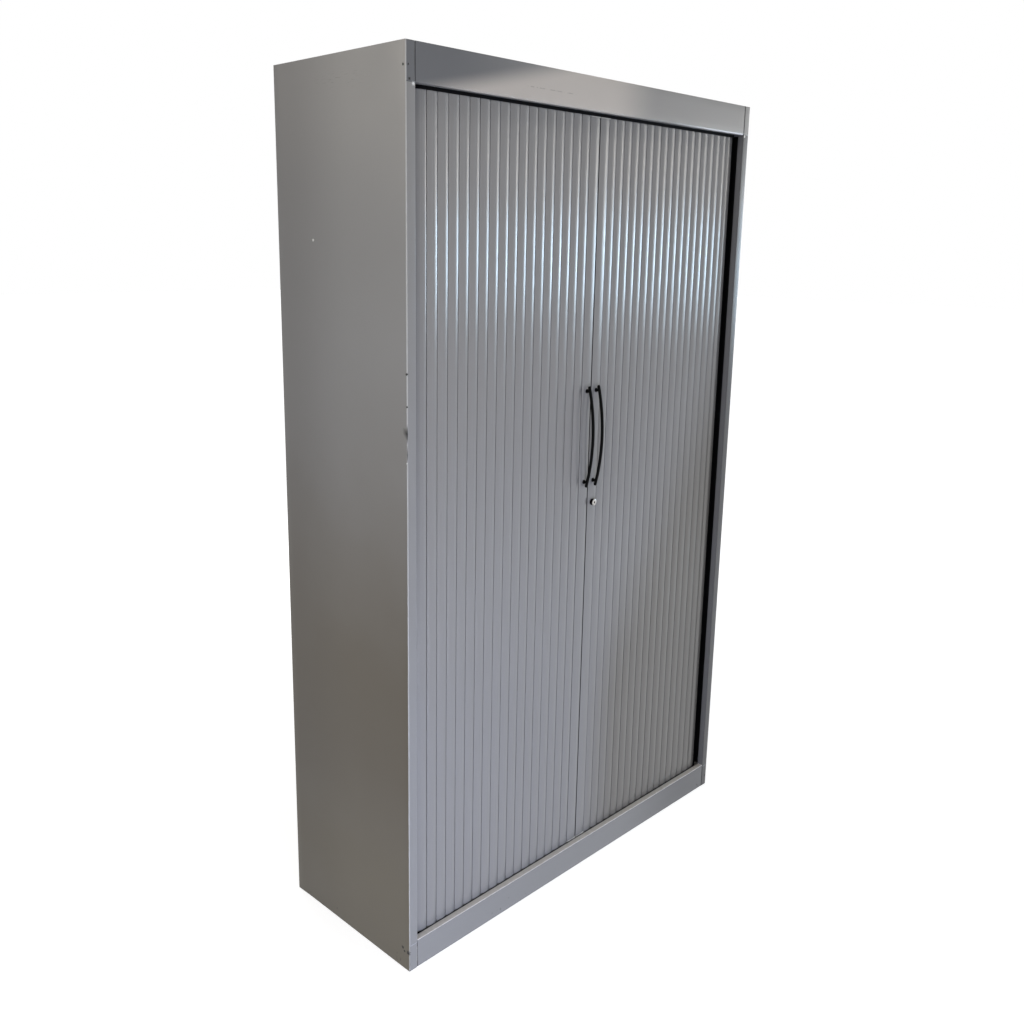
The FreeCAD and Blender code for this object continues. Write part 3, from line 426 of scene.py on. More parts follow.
def painted_shade_in_gaps(paint, zones, colour):
    """Painted shade: dark gaps at the ends of the fascia and the plinth, and black inside the stiles."""
    plinth_ends = paint.product(paint.remap(zones.height, LEDGE - 1 * MM, LEDGE - 2 * MM),
                                zones.halves(0.35, 1.0))
    ends = paint.product(zones.fore, paint.either(zones.above, plinth_ends))
    away = paint.math("ABSOLUTE", paint.math("SUBTRACT", zones.out, OPENING + 0.3 * MM))
    away = paint.math("SUBTRACT", away, zones.halves(0.6 * MM, 1.5 * MM))
    gap = paint.product(paint.remap(away, 0.3 * MM, 0.0), ends)
    colour = paint.cover(gap, colour, GAP_PAINTED_SHADE)
    inner = paint.product(paint.remap(zones.out, HALF - 0.3 * MM, HALF - 0.7 * MM),
                          paint.remap(zones.out, OPENING + 1.6 * MM, OPENING + 2.2 * MM),
                          paint.remap(zones.depth, FRONT + 0.4 * MM, FRONT + 0.7 * MM),
                          paint.remap(zones.depth, FRONT + 70 * MM, FRONT + 58 * MM), zones.below)
    return paint.cover(inner, colour, INNER_PAINTED_SHADE)


def fine_scratches(paint, zones, colour):
    """Fine dark scratches high on the sides."""
    fine = paint.noise(50.0, detail=3.0, stretch=(1, 0.8, 14), rough=0.6, shift=31.0)
    rubbed = paint.product(paint.remap(fine, 0.60, 0.64), paint.near("Z", 1.93, 0.03),
                           paint.near("Y", 0.0, 0.17), zones.side, 0.5)
    return paint.cover(rubbed, colour, FINE_SCRATCH)


def moulded_plastic(name, colour, gloss, texture=700.0, depth=0.08, shine=0.5):
    """Plain moulded plastic with a fine grain and dusty, uneven gloss."""
    paint = Paint(name)
    dust = paint.noise(40.0, detail=6.0, rough=0.65)
    dark = (*(c * 0.75 for c in colour), 1.0)
    light = (*(min(c * 1.25, 1.0) for c in colour), 1.0)
    paint.set(Specular_IOR_Level=shine, Base_Color=paint.mix(paint.spread(dust, 0.0, 1.0), dark, light),
              Roughness=paint.spread(dust, gloss - 0.05, gloss + 0.1),
              Normal=paint.bump(paint.noise(texture, detail=2.0), depth, 0.0004))
    return paint.material


def bare_metal(name, level, gloss, shade_behind=None):
    """Plated metal with fine marks. With a depth, it is painted black, as shade, behind it and in the lock's
    key hole.
    """
    paint = Paint(name)
    marks = paint.noise(500.0, detail=4.0)
    stain = paint.noise(70.0, detail=4.0, shift=2.0)
    colour = paint.mix(paint.remap(stain, 0.3, 0.75), grey(level, 0.03), grey(level * 0.72, 0.03))
    # Painted shade on the barrel's side and in the key hole.
    if shade_behind is not None:
        behind = paint.remap(paint.axis("Y"), shade_behind, shade_behind + 0.3 * MM)
        flat_place = paint.node("ShaderNodeVectorMath", {0: paint.place, 1: (1, 0, 1)}, operation="MULTIPLY")
        away = paint.node("ShaderNodeVectorMath", {0: flat_place.outputs["Vector"],
                                                   1: (RAIL_MIDDLE, 0, LOCK_HEIGHT)}, operation="DISTANCE")
        hole = paint.remap(away.outputs["Value"], 2.9 * MM, 2.5 * MM)
        colour = paint.cover(paint.either(behind, hole), colour, LOCK_PAINTED_SHADE)
    paint.set(Base_Color=colour, Metallic=1.0, Roughness=paint.spread(marks, gloss - 0.04, gloss + 0.08),
              Normal=paint.bump(marks, 0.06, 0.0003))
    return paint.material


finishes = {
    "carcass_paint": silver_paint("carcass_paint", 0.25, 0.01, 0.06, 0.32, aged_with_painted_light=True),
    "inner_paint": silver_paint("inner_paint", 0.30, 0.01, 0.05, 0.45, worn=False),
    "slat_plastic": silver_paint("slat_plastic", 0.25, 0.02, 0.06, 0.20, worn=False, grain=600.0, peel=0.002,
                                 seam_depth=CURTAIN_Y + 0.7 * MM),
    # The lead rails are painted black, as shade, along their inner edges at the middle gap.
    "lead_rail": silver_paint("lead_rail", 0.25, 0.02, 0.06, 0.21, worn=False, peel=0.002,
                              seam_depth=RAIL_FACE + RAIL_CROWN + 0.4 * MM, dark_edge=rail_low.x + 1.1 * MM),
    "track_plastic": moulded_plastic("track_plastic", (0.004, 0.004, 0.005), 0.65, shine=0.03),
    "handle_black": moulded_plastic("handle_black", (0.002, 0.002, 0.002), 0.42, texture=1500.0,
                                    depth=0.04, shine=0.06),
    "lock_chrome": bare_metal("lock_chrome", 0.56, 0.25, shade_behind=lock_low.y + 0.9 * MM),
    "zinc": bare_metal("zinc", 0.52, 0.36),
    "foot_plastic": moulded_plastic("foot_plastic", (0.02, 0.02, 0.02), 0.5),
    "glide_plastic": moulded_plastic("glide_plastic", (0.55, 0.54, 0.50), 0.42),
}

# ---------------------------------------------------------------- mesh helpers


def finish_piece(name, bm, body, slot, replaced=(), smooth=35):
    """Turns a bmesh into a piece that rides a body and takes a slot's finish."""
    bmesh.ops.remove_doubles(bm, verts=bm.verts, dist=1e-6)
    bmesh.ops.recalc_face_normals(bm, faces=bm.faces)
    mesh = bpy.data.meshes.new(name)
    bm.to_mesh(mesh)
    bm.free()
    piece = bpy.data.objects.new(name, mesh)
    bpy.context.scene.collection.objects.link(piece)
    mesh.materials.append(finishes[slot])
    mesh.polygons.foreach_set("use_smooth", [True] * len(mesh.polygons))
    mesh.set_sharp_from_angle(angle=math.radians(smooth))
    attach(piece, body)
    if replaced:
        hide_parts(*replaced)
    return piece


def rounded(corners, step=18):
    """Outline through (a, b, radius) corners, each turned on an arc of its own radius."""
    outline = []
    count = len(corners)
    for index in range(count):
        a, b, radius = corners[index]
        here = Vector((a, b))
        before = Vector(corners[index - 1][:2]) - here
        after = Vector(corners[(index + 1) % count][:2]) - here
        turn = math.pi - before.angle(after)
        if radius <= 0 or turn < 1e-3:
            outline.append(here)
            continue
        reach = min(radius * math.tan(turn / 2), before.length * 0.49, after.length * 0.49)
        radius = reach / math.tan(turn / 2)
        bisector = (before.normalized() + after.normalized()).normalized()
        centre = here + bisector * (radius / math.cos(turn / 2))
        start = here + before.normalized() * reach - centre
        sweep = start.angle_signed(here + after.normalized() * reach - centre)
        steps = max(2, round(math.degrees(turn) / step))
        for k in range(steps + 1):
            angle = -sweep * k / steps
            spin = Matrix.Rotation(angle, 2)
            outline.append(centre + spin @ start)
    return outline


def divided(outline, longest):
    """The same outline with its long straight runs divided."""
    result = []
    for index, point in enumerate(outline):
        after = outline[(index + 1) % len(outline)]
        cuts = max(1, math.ceil((after - point).length / longest))
        result += [point.lerp(after, k / cuts) for k in range(cuts)]
    return result


def spaced(low, high, longest):
    """Even levels from low to high, no further apart than the longest step."""
    cuts = max(1, math.ceil((high - low) / longest))
    return [low + (high - low) * k / cuts for k in range(cuts + 1)]


PLAN = {"z": lambda a, b, c: (a, b, c), "x": lambda a, b, c: (c, a, b), "y": lambda a, b, c: (a, c, b)}


def skin(bm, rings):
    """Faces between each ring of points and the next."""
    for first, second in zip(rings, rings[1:]):
        for k in range(len(first)):
            after = (k + 1) % len(first)
            bm.faces.new((first[k], first[after], second[after], second[k]))


def extrude(bm, outline, levels, along="z"):
    """Adds a closed prism of an outline through several levels along an axis."""
    place = PLAN[along]
    rings = [[bm.verts.new(place(p.x, p.y, level)) for p in outline] for level in levels]
    skin(bm, rings)
    bm.faces.new(list(reversed(rings[0])))
    bm.faces.new(rings[-1])


def box_bmesh(low, high):
    """A plain box, to cut with."""
    (x0, y0, z0), (x1, y1, z1) = low, high
    bm = bmesh.new()
    extrude(bm, [Vector(p) for p in ((x0, y0), (x1, y0), (x1, y1), (x0, y1))], (z0, z1))
    return bm


def loose_object(name, bm):
    """An object from a bmesh, on no body."""
    mesh = bpy.data.meshes.new(name)
    bmesh.ops.recalc_face_normals(bm, faces=bm.faces)
    bm.to_mesh(mesh)
    bm.free()
    thing = bpy.data.objects.new(name, mesh)
    bpy.context.scene.collection.objects.link(thing)
    return thing


def carved(bm, cutters):
    """The bmesh with each cutter's volume taken out of it."""
    blank = loose_object("blank", bm)
    for cutter in cutters:
        tool = loose_object("cutter", cutter)
        step = blank.modifiers.new("cut", "BOOLEAN")
        step.operation = "DIFFERENCE"
        step.solver = "EXACT"
        step.object = tool
        shape = blank.evaluated_get(bpy.context.evaluated_depsgraph_get())
        mesh = bpy.data.meshes.new_from_object(shape)
        blank.modifiers.clear()
        blank.data = mesh
        bpy.data.objects.remove(tool)
    result = bmesh.new()
    result.from_mesh(blank.data)
    bpy.data.objects.remove(blank)
    return result


def mirror_x(outline, sign):
    """A right side outline for the side with this sign."""
    return [Vector((p.x * sign, p.y)) for p in outline]


# ---------------------------------------------------------------- carcass sheets

BEND = 2.0 * MM
INNER_BEND = 1.0 * MM
CUT_EDGE = 0.25 * MM
SIDE_SAG = 0.45 * MM
END_ROLL = (1.6 * MM, 1.0 * MM)


def side_sheet(side):
    """Side panel: one sheet with its stile, the stile's return and its rear flange, a little uneven."""
    sign = SIDES[side]
    inner = HALF - SHEET
    outline = rounded([
        (HALF, FRONT, BEND), (HALF, BACK, BEND), (HALF - BACK_FLANGE, BACK, CUT_EDGE),
        (HALF - BACK_FLANGE, BACK - SHEET, CUT_EDGE), (inner, BACK - SHEET, INNER_BEND),
        (inner, FRONT + SHEET, INNER_BEND), (OPENING + SHEET, FRONT + SHEET, INNER_BEND),
        (OPENING + SHEET, FRONT + FOLD, CUT_EDGE), (OPENING, FRONT + FOLD, CUT_EDGE), (OPENING, FRONT, BEND),
    ], step=15)
    outline = mirror_x(divided(outline, 22 * MM), sign)
    bm = bmesh.new()
    extrude(bm, outline, spaced(0.0, HEIGHT, 22 * MM))
    spans = sorted(((OPENING - 1 * MM) * sign, inner * sign))
    foot = box_bmesh((spans[0], FRONT - 1 * MM, -1 * MM), (spans[1], FRONT + FOLD + 1 * MM, STILE_FOOT))
    head = box_bmesh((spans[0], FRONT - 1 * MM, FASCIA_FOOT - SEAM),
                     (spans[1], FRONT + FOLD + 1 * MM, HEIGHT + 1 * MM))
    bm = carved(bm, [foot, head])
    for vert in bm.verts:
        inside = min((vert.co.y - FRONT - 0.06) / 0.05, (BACK - vert.co.y) / 0.05, 1.0)
        wave = math.sin(vert.co.z * 3.1 + 0.6) * math.sin(vert.co.y * 7.0 + 1.0 + sign)
        wave += 0.5 * math.sin(vert.co.z * 7.3 + vert.co.y * 5.0)
        vert.co.x -= sign * SIDE_SAG * max(inside, 0.0) * (1.2 + wave)
    if side == "left":
        dent(bm, Vector((-HALF, FRONT, 1.235)), 16 * MM, Vector((0.9 * MM, 0.5 * MM, 0)))
        dent(bm, Vector((-HALF, FRONT, 1.19)), 12 * MM, Vector((0.5 * MM, 0.8 * MM, 0)))
    return finish_piece(f"side_sheet_{side}", bm, "carcass", "carcass_paint", [f"side_panel_{side}"])


def dent(bm, centre, reach, push):
    """Pushes in the points round a place."""
    for vert in bm.verts:
        away = (vert.co - centre).length
        if away < reach * 2:
            vert.co += push * math.exp(-(away / reach) ** 2 * 2)


def fascia_sheet():
    """Front sheet over the curtains, folded back along its foot and a little round at its ends."""
    foot_bend = 3.4 * MM
    outline = rounded([
        (FRONT, FASCIA_FOOT, foot_bend), (FRONT + FOLD, FASCIA_FOOT, CUT_EDGE),
        (FRONT + FOLD, FASCIA_FOOT + SHEET, CUT_EDGE),
        (FRONT + SHEET, FASCIA_FOOT + SHEET, foot_bend - SHEET),
        (FRONT + SHEET, HEIGHT, CUT_EDGE), (FRONT, HEIGHT, 1.2 * MM),
    ], step=12)
    outline = divided(outline, 20 * MM)
    bm = bmesh.new()
    reach = -fascia_low.x
    extrude(bm, outline, end_spaced(-reach, reach), along="x")
    roll_ends(bm, reach, *END_ROLL)
    wavy_front(bm, 0.25 * MM, 0.0)
    return finish_piece("fascia_sheet", bm, "carcass", "carcass_paint", ["fascia"])


def end_spaced(low, high):
    """Levels with a few extra ones close to both ends."""
    near = [0.0, 0.4 * MM, 0.9 * MM, 1.6 * MM]
    middle = spaced(low + 4 * MM, high - 4 * MM, 40 * MM)
    return [low + n for n in near] + middle + [high - n for n in reversed(near)]


def roll_ends(bm, reach, length, depth):
    """Turns the last stretch of a front sheet's face inward at both ends."""
    for vert in bm.verts:
        past = abs(vert.co.x) - (reach - length)
        if past > 0 and vert.co.y < FRONT + 2.5 * MM:
            share = min(past / length, 1.0)
            vert.co.y += depth * (1 - math.sqrt(max(1 - share * share, 0.0)))


def wavy_front(bm, depth, phase):
    """Sinks the face of a front sheet in shallow waves."""
    for vert in bm.verts:
        if vert.co.y < FRONT + 3 * MM:
            wave = math.sin(vert.co.x * 6.0 + phase) * math.sin(vert.co.z * 30.0 + phase)
            vert.co.y += depth * 0.5 * (1 + wave)


def plinth_sheet():
    """Front sheet under the curtains: ledge on top, narrow fold along the floor."""
    outline = rounded([
        (FRONT, 0.0, BEND), (FRONT + PLINTH_FOLD, 0.0, CUT_EDGE), (FRONT + PLINTH_FOLD, SHEET, CUT_EDGE),
        (FRONT + SHEET, SHEET, INNER_BEND), (FRONT + SHEET, LEDGE - SHEET, INNER_BEND),
        (FRONT + FOLD, LEDGE - SHEET, CUT_EDGE), (FRONT + FOLD, LEDGE, CUT_EDGE), (FRONT, LEDGE, 1.8 * MM),
    ], step=12)
    bm = bmesh.new()
    reach = -plinth_low.x
    extrude(bm, divided(outline, 20 * MM), end_spaced(-reach, reach), along="x")
    roll_ends(bm, reach, *END_ROLL)
    wavy_front(bm, 0.3 * MM, 1.0)
    return finish_piece("plinth_sheet", bm, "carcass", "carcass_paint", ["plinth_front"])


def corner_sheets(name, node, low_z, high_z):
    """The two small folded pieces at the ends of the fascia or of the plinth."""
    bm = bmesh.new()
    node_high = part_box(node)[1]
    start = OPENING + 0.9 * MM
    end = node_high.x
    depth = node_high.y - FRONT
    for sign in SIDES.values():
        outline = rounded([
            (start, FRONT, 1.8 * MM), (end, FRONT, 1.0 * MM), (end, FRONT + SHEET, CUT_EDGE),
            (start + SHEET, FRONT + SHEET, INNER_BEND), (start + SHEET, FRONT + depth, CUT_EDGE),
            (start, FRONT + depth, CUT_EDGE),
        ], step=15)
        ease = 1.2 * MM
        levels = [low_z, low_z + 0.35 * ease, low_z + ease] + spaced(low_z + 3 * MM, high_z - 3 * MM, 20 * MM)
        levels += [high_z - ease, high_z - 0.35 * ease, high_z]
        part = bmesh.new()
        extrude(part, mirror_x(outline, sign), levels)
        for vert in part.verts:
            past = max(low_z + ease - vert.co.z, vert.co.z - high_z + ease, 0.0) / ease
            if vert.co.y < FRONT + 1.5 * MM:
                vert.co.y += 0.7 * MM * (1 - math.sqrt(max(1 - past * past, 0.0)))
        join(bm, part)
    return finish_piece(name, bm, "carcass", "carcass_paint", [node])


def join(bm, part):
    """Adds one bmesh to another, and frees it."""
    mesh = bpy.data.meshes.new("part")
    part.to_mesh(mesh)
    part.free()
    bm.from_mesh(mesh)
    bpy.data.meshes.remove(mesh)


def tray_sheet(name, node, slot="inner_paint"):
    """A sheet folded down along all four edges, with rounded bends."""
    low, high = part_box(node)
    bend, steps = 1.6 * MM, 5
    inner = bend - SHEET * 0.6
    arc = [(1 - math.sin(math.pi / 2 * k / steps), 1 - math.cos(math.pi / 2 * k / steps))
           for k in range(steps + 1)]
    profile = [(bend * a, bend * b) for a, b in arc]
    profile += [(0.0, high.z - low.z), (SHEET, high.z - low.z)]
    profile += [(SHEET + inner * a, SHEET + inner * b) for a, b in reversed(arc)]
    bm = bmesh.new()
    rings = []
    for inset, drop in profile:
        x0, x1, y0, y1 = low.x + inset, high.x - inset, low.y + inset, high.y - inset
        corners = ((x0, y0), (x1, y0), (x1, y1), (x0, y1))
        rings.append([bm.verts.new((x, y, high.z - drop)) for x, y in corners])
    skin(bm, rings)
    bm.faces.new(rings[0])
    bm.faces.new(list(reversed(rings[-1])))
    return finish_piece(name, bm, "carcass", slot, [node])


# ---------------------------------------------------------------- curtains

slat_rng = random.Random(29)


def crowned_face(half, crown, flute=0.0):
    """Front of a slat or rail round its middle: a shallow crown between soft edges at y 0.

    A flute is a faint groove along the crest.
    """
    edge = 0.7 * MM
    flat = half - edge
    steps = 40
    face = []
    for k in range(steps + 1):
        x = -flat + 2 * flat * k / steps
        groove = flute * math.exp(-(x / (0.9 * MM)) ** 2)
        face.append(Vector((x, -crown * (1 - (x / flat) ** 2) + groove)))
    turn = [(edge * math.sin(math.radians(a)), edge * (1 - math.cos(math.radians(a)))) for a in (35, 60, 85)]
    left = [face[0] + Vector((-a, b)) for a, b in reversed(turn)]
    right = [face[-1] + Vector((a, b)) for a, b in turn]
    return left + face + right


def slat_outline(gap):
    """Plan of one slat round its middle: its face and a narrower back."""
    half = (PITCH - gap) / 2
    neck = half - SLAT_FLANK
    back = [(half, 1.1 * MM), (neck, SLAT_DEPTH - 0.6 * MM), (neck - 0.6 * MM, SLAT_DEPTH)]
    back = [Vector(p) for p in back]
    back += [Vector((-p.x, p.y)) for p in reversed(back)]
    return crowned_face(half, SLAT_CROWN, 0.16 * MM) + back


FLAT_SLAT = slat_outline(1.2 * MM)
BENT_SLAT = slat_outline(1.6 * MM)


def hinge_point(run):
    """The hinge line's point at a distance along it from the middle, on the right side."""
    flat = CURTAIN_X - CURTAIN_RADIUS
    bend = CURTAIN_RADIUS * math.pi / 2
    if run <= flat:
        return Vector((run, CURTAIN_Y))
    if run <= flat + bend:
        angle = (run - flat) / CURTAIN_RADIUS
        return Vector((flat + CURTAIN_RADIUS * math.sin(angle),
                       CURTAIN_Y + CURTAIN_RADIUS * (1 - math.cos(angle))))
    return Vector((CURTAIN_X, CURTAIN_Y + CURTAIN_RADIUS + run - flat - bend))


def next_hinge(run):
    """The distance along the hinge line of the next hinge, one pitch away."""
    low, high = run + PITCH / 2, run + PITCH * 2
    for _ in range(50):
        middle = (low + high) / 2
        if (hinge_point(middle) - hinge_point(run)).length < PITCH:
            low = middle
        else:
            high = middle
    return low


def add_slat(bm, start, end, sign, plan):
    """One slat between two hinges, a hair out of line, and the strip that hinges it to the next."""
    along = (end - start).normalized()
    inward = Vector((-along.y, along.x))
    low, high = slat_low.z, slat_high.z
    reach = along * 1.9 * MM
    near, far = inward * 4.8 * MM, inward * 5.4 * MM
    strip = [end - reach + near, end + reach + near, end + reach + far, end - reach + far]
    extrude(bm, mirror_x(strip, sign), (low + 2 * MM, high - 2 * MM))
    middle = (start + end) / 2 + inward * slat_rng.uniform(-0.06, 0.06) * MM
    along = Matrix.Rotation(math.radians(slat_rng.uniform(-0.35, 0.35)), 2) @ along
    inward = Vector((-along.y, along.x))
    outline = [middle + along * p.x + inward * p.y for p in plan]
    extrude(bm, mirror_x(outline, sign), (low, high))


def curtain(side):
    """A curtain: the groups of its flat run, each with a mesh of its own, then its corner and its tail."""
    sign = SIDES[side]
    run = FIRST_HINGE
    for number, count in enumerate(GROUPS, start=1):
        bm = bmesh.new()
        for _ in range(count):
            add_slat(bm, hinge_point(run), hinge_point(run + PITCH), sign, FLAT_SLAT)
            run += PITCH
        piece = finish_piece(f"curtain_{side}_{number}", bm, f"{side}_slats_{number}",
                             "slat_plastic", [f"slats_{side}_{number}"], smooth=40)
        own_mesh(piece)
    for part, count, body in (("corner", CORNER_SLATS, "carcass"), ("tail", TAIL_SLATS, f"{side}_tail")):
        bm = bmesh.new()
        for _ in range(count):
            after = next_hinge(run)
            add_slat(bm, hinge_point(run), hinge_point(after), sign, BENT_SLAT)
            run = after
        finish_piece(f"curtain_{side}_{part}", bm, body, "slat_plastic", [f"slats_{side}_{part}"], smooth=40)


def lead_rail(side):
    """End bar of a curtain: a face crowned like a slat's, and soft corners behind."""
    sign = SIDES[side]
    low, high = rail_low.x + 0.3 * MM, rail_high.x - 0.3 * MM
    back, ease = rail_high.y, 0.8 * MM
    centre = Vector(((low + high) / 2, RAIL_FACE + RAIL_CROWN))
    outline = [centre + p for p in crowned_face((high - low) / 2, RAIL_CROWN)]
    rear = ((high, back - ease), (high - ease, back), (low + ease, back), (low, back - ease))
    outline += [Vector(p) for p in rear]
    bm = bmesh.new()
    extrude(bm, mirror_x(outline, sign), (rail_low.z, rail_high.z))
    finish_piece(f"lead_bar_{side}", bm, f"{side}_lead", "lead_rail", [f"lead_rail_{side}"])


# ---------------------------------------------------------------- handles and lock


def tube(bm, path, radii, around=20):
    """A closed round tube along a path that lies in a plane across X."""
    side = Vector((1, 0, 0))
    rings = []
    for index, (point, radius) in enumerate(zip(path, radii)):
        before = path[max(index - 1, 0)]
        after = path[min(index + 1, len(path) - 1)]
        up = (after - before).cross(side).normalized()
        turns = [2 * math.pi * k / around for k in range(around)]
        rings.append([bm.verts.new(point + (side * math.cos(a) + up * math.sin(a)) * radius) for a in turns])
    skin(bm, rings)
    bm.faces.new(list(reversed(rings[0])))
    bm.faces.new(rings[-1])


def turned_rings(bm, centre, profile, around):
    """Rings of points about an axis along Y, through (y, radius) points."""
    turns = [2 * math.pi * k / around for k in range(around)]
    return [[bm.verts.new((centre[0] + radius * math.cos(a), y, centre[1] + radius * math.sin(a)))
             for a in turns] for y, radius in profile]


def turned(bm, centre, profile):
    """A turned piece that is closed at both ends."""
    rings = turned_rings(bm, centre, profile, 32)
    skin(bm, rings)
    bm.faces.new(rings[0])
    bm.faces.new(list(reversed(rings[-1])))


def turned_ring(bm, centre, profile):
    """A turned ring: its profile closes on itself, so it has a hole."""
    rings = turned_rings(bm, centre, profile, 40)
    skin(bm, rings + rings[:1])


BAR = 3.8 * MM
POST = 3.6 * MM
HANDLE_REACH = 24 * MM
HANDLE_BOW = 16 * MM
HANDLE_LENGTH = 250 * MM
POST_SPACING = 224 * MM


def handle(side):
    """Slim black bar bowed outward on two posts, with a flat collar under each post."""
    x = RAIL_MIDDLE * SIDES[side]
    half = HANDLE_LENGTH / 2 - BAR
    radius = (half * half + HANDLE_BOW * HANDLE_BOW) / (2 * HANDLE_BOW)
    centre_y = RAIL_FACE - HANDLE_REACH + radius
    end_angle = math.asin(half / radius)
    path, radii = [], []
    steps = 48
    for k in range(steps + 1):
        angle = end_angle * (2 * k / steps - 1)
        y, z = centre_y - radius * math.cos(angle), HANDLE_MIDDLE + radius * math.sin(angle)
        path.append(Vector((x, y, z)))
        radii.append(BAR)
    for k in range(1, 6):
        lean = math.pi / 2 * k / 5
        for end, where in ((-1, 0), (1, len(path))):
            tangent = Vector((0, end * math.sin(end_angle), math.cos(end_angle))) * end
            base = Vector((x, centre_y - radius * math.cos(end_angle), HANDLE_MIDDLE + half * end))
            path.insert(where if end < 0 else len(path), base + tangent * BAR * math.sin(lean))
            radii.insert(where if end < 0 else len(radii), max(BAR * math.cos(lean), 0.05 * MM))
    bm = bmesh.new()
    tube(bm, path, radii)
    reach = HANDLE_REACH - POST_SPACING ** 2 / 8 / radius
    post = [(RAIL_FACE - 1.8 * MM, POST), (RAIL_FACE - reach * 0.5, POST * 0.94),
            (RAIL_FACE - reach, POST * 0.92)]
    collar = [(RAIL_FACE + 0.4 * MM, 5.2 * MM), (RAIL_FACE - 1.2 * MM, 5.2 * MM),
              (RAIL_FACE - 1.8 * MM, 4.8 * MM), (RAIL_FACE - 2.0 * MM, 4.2 * MM),
              (RAIL_FACE - 2.0 * MM, 2.0 * MM)]
    for profile in (post, collar):
        for end in (-1, 1):
            turned(bm, (x, HANDLE_MIDDLE + POST_SPACING / 2 * end), profile)
    finish_piece(f"bow_handle_{side}", bm, f"{side}_lead", "handle_black", [f"handle_{side}"], smooth=50)


def lock():
    """Round chrome barrel with a dished rim, its nut behind the rail, and the plug with its key slot."""
    x, z = RAIL_MIDDLE, LOCK_HEIGHT
    nose, tail = lock_low.y, lock_high.y
    outer, plug = 8.2 * MM, 6.0 * MM
    bore = plug + 0.15 * MM
    bm = bmesh.new()
    profile = [(tail, bore), (tail, outer), (nose + 1.2 * MM, outer), (nose + 0.35 * MM, outer - 0.35 * MM),
               (nose, outer - 1.1 * MM), (nose + 0.1 * MM, bore + 0.3 * MM), (nose + 0.5 * MM, bore)]
    turned_ring(bm, (x, z), profile)
    nut_outer = outer + 2.8 * MM
    nut_low, nut_high = rail_high.y + 0.05 * MM, rail_high.y + 3.55 * MM
    nut = [Vector((x + nut_outer * math.cos(math.pi / 3 * k), z + nut_outer * math.sin(math.pi / 3 * k)))
           for k in range(6)]
    extrude(bm, rounded([(p.x, p.y, 0.8 * MM) for p in nut]), (nut_low, nut_high), along="y")
    finish_piece("lock_barrel", bm, "right_lead", "lock_chrome", ["lock_body"], smooth=30)
    plug_bm = bmesh.new()
    face = nose + 0.3 * MM
    turned(plug_bm, (x, z), [(tail + 3.0 * MM, 3.0 * MM), (tail, 3.0 * MM), (tail - 0.2 * MM, plug),
                             (face + 0.5 * MM, plug), (face, plug - 0.5 * MM)])
    slot = box_bmesh((x - 0.75 * MM, nose - 1 * MM, z - 3.0 * MM),
                     (x + 0.75 * MM, nose + 7 * MM, z + 3.0 * MM))
    plug_bm = carved(plug_bm, [slot])
    finish_piece("lock_plug_face", plug_bm, "lock_core", "lock_chrome", ["lock_plug"], smooth=30)


# ---------------------------------------------------------------- build the pieces

for side in SIDES:
    side_sheet(side)
    curtain(side)
    lead_rail(side)
    handle(side)
lock()
fascia_sheet()
plinth_sheet()
corner_sheets("fascia_corner_sheets", "fascia_corners", FASCIA_FOOT, HEIGHT)
corner_sheets("plinth_corner_sheets", "plinth_corners", 0.0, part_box("plinth_corners")[1].z)
tray_sheet("top_sheet", "top_panel", slot="carcass_paint")
tray_sheet("bottom_shelf_sheet", "bottom_shelf")
for number in range(1, 5):
    tray_sheet(f"shelf_sheet_{number}", f"shelf_{number}")

# ---------------------------------------------------------------- carried-over nodes

slot_of = {part["node"]: part["material_slot"] for part in frame["record"]["subparts"]}
for name, node in frame["nodes"].items():
    node.data.materials.clear()
    node.data.materials.append(finishes[slot_of[name]])
    node.data.polygons.foreach_set("use_smooth", [True] * len(node.data.polygons))
    node.data.set_sharp_from_angle(angle=math.radians(30))

# ---------------------------------------------------------------- floor, light, camera


def floor():
    """A pale floor that shows near white, and keeps the object's shadow."""
    bm = bmesh.new()
    bmesh.ops.create_grid(bm, x_segments=1, y_segments=1, size=30)
    ground = loose_object("floor", bm)
    ground.location.z = -0.0005
    paint = Paint("floor")
    tree = paint.tree
    rays = paint.node("ShaderNodeLightPath").outputs
    seen = paint.either(rays["Is Camera Ray"], rays["Is Glossy Ray"])
    seen = paint.either(seen, rays["Is Transmission Ray"])
    grain = paint.noise(60.0, detail=4.0)
    paint.set(Base_Color=paint.mix(grain, (0.55, 0.55, 0.54, 1), (0.60, 0.60, 0.59, 1)), Roughness=0.9)
    away = paint.node("ShaderNodeVectorMath", {0: paint.place}, operation="LENGTH").outputs["Value"]
    strength = paint.remap(away, 0.9, 3.2, 0.76, 0.98, smooth=True)
    glow = paint.node("ShaderNodeEmission", {"Color": (1, 1, 1, 1), "Strength": strength})
    both = paint.node("ShaderNodeAddShader")
    tree.links.new(paint.shader.outputs["BSDF"], both.inputs[0])
    tree.links.new(glow.outputs["Emission"], both.inputs[1])
    pick = paint.node("ShaderNodeMixShader", {0: seen})
    tree.links.new(paint.shader.outputs["BSDF"], pick.inputs[1])
    tree.links.new(both.outputs["Shader"], pick.inputs[2])
    tree.links.new(pick.outputs["Shader"], tree.nodes["Material Output"].inputs["Surface"])
    ground.data.materials.append(paint.material)


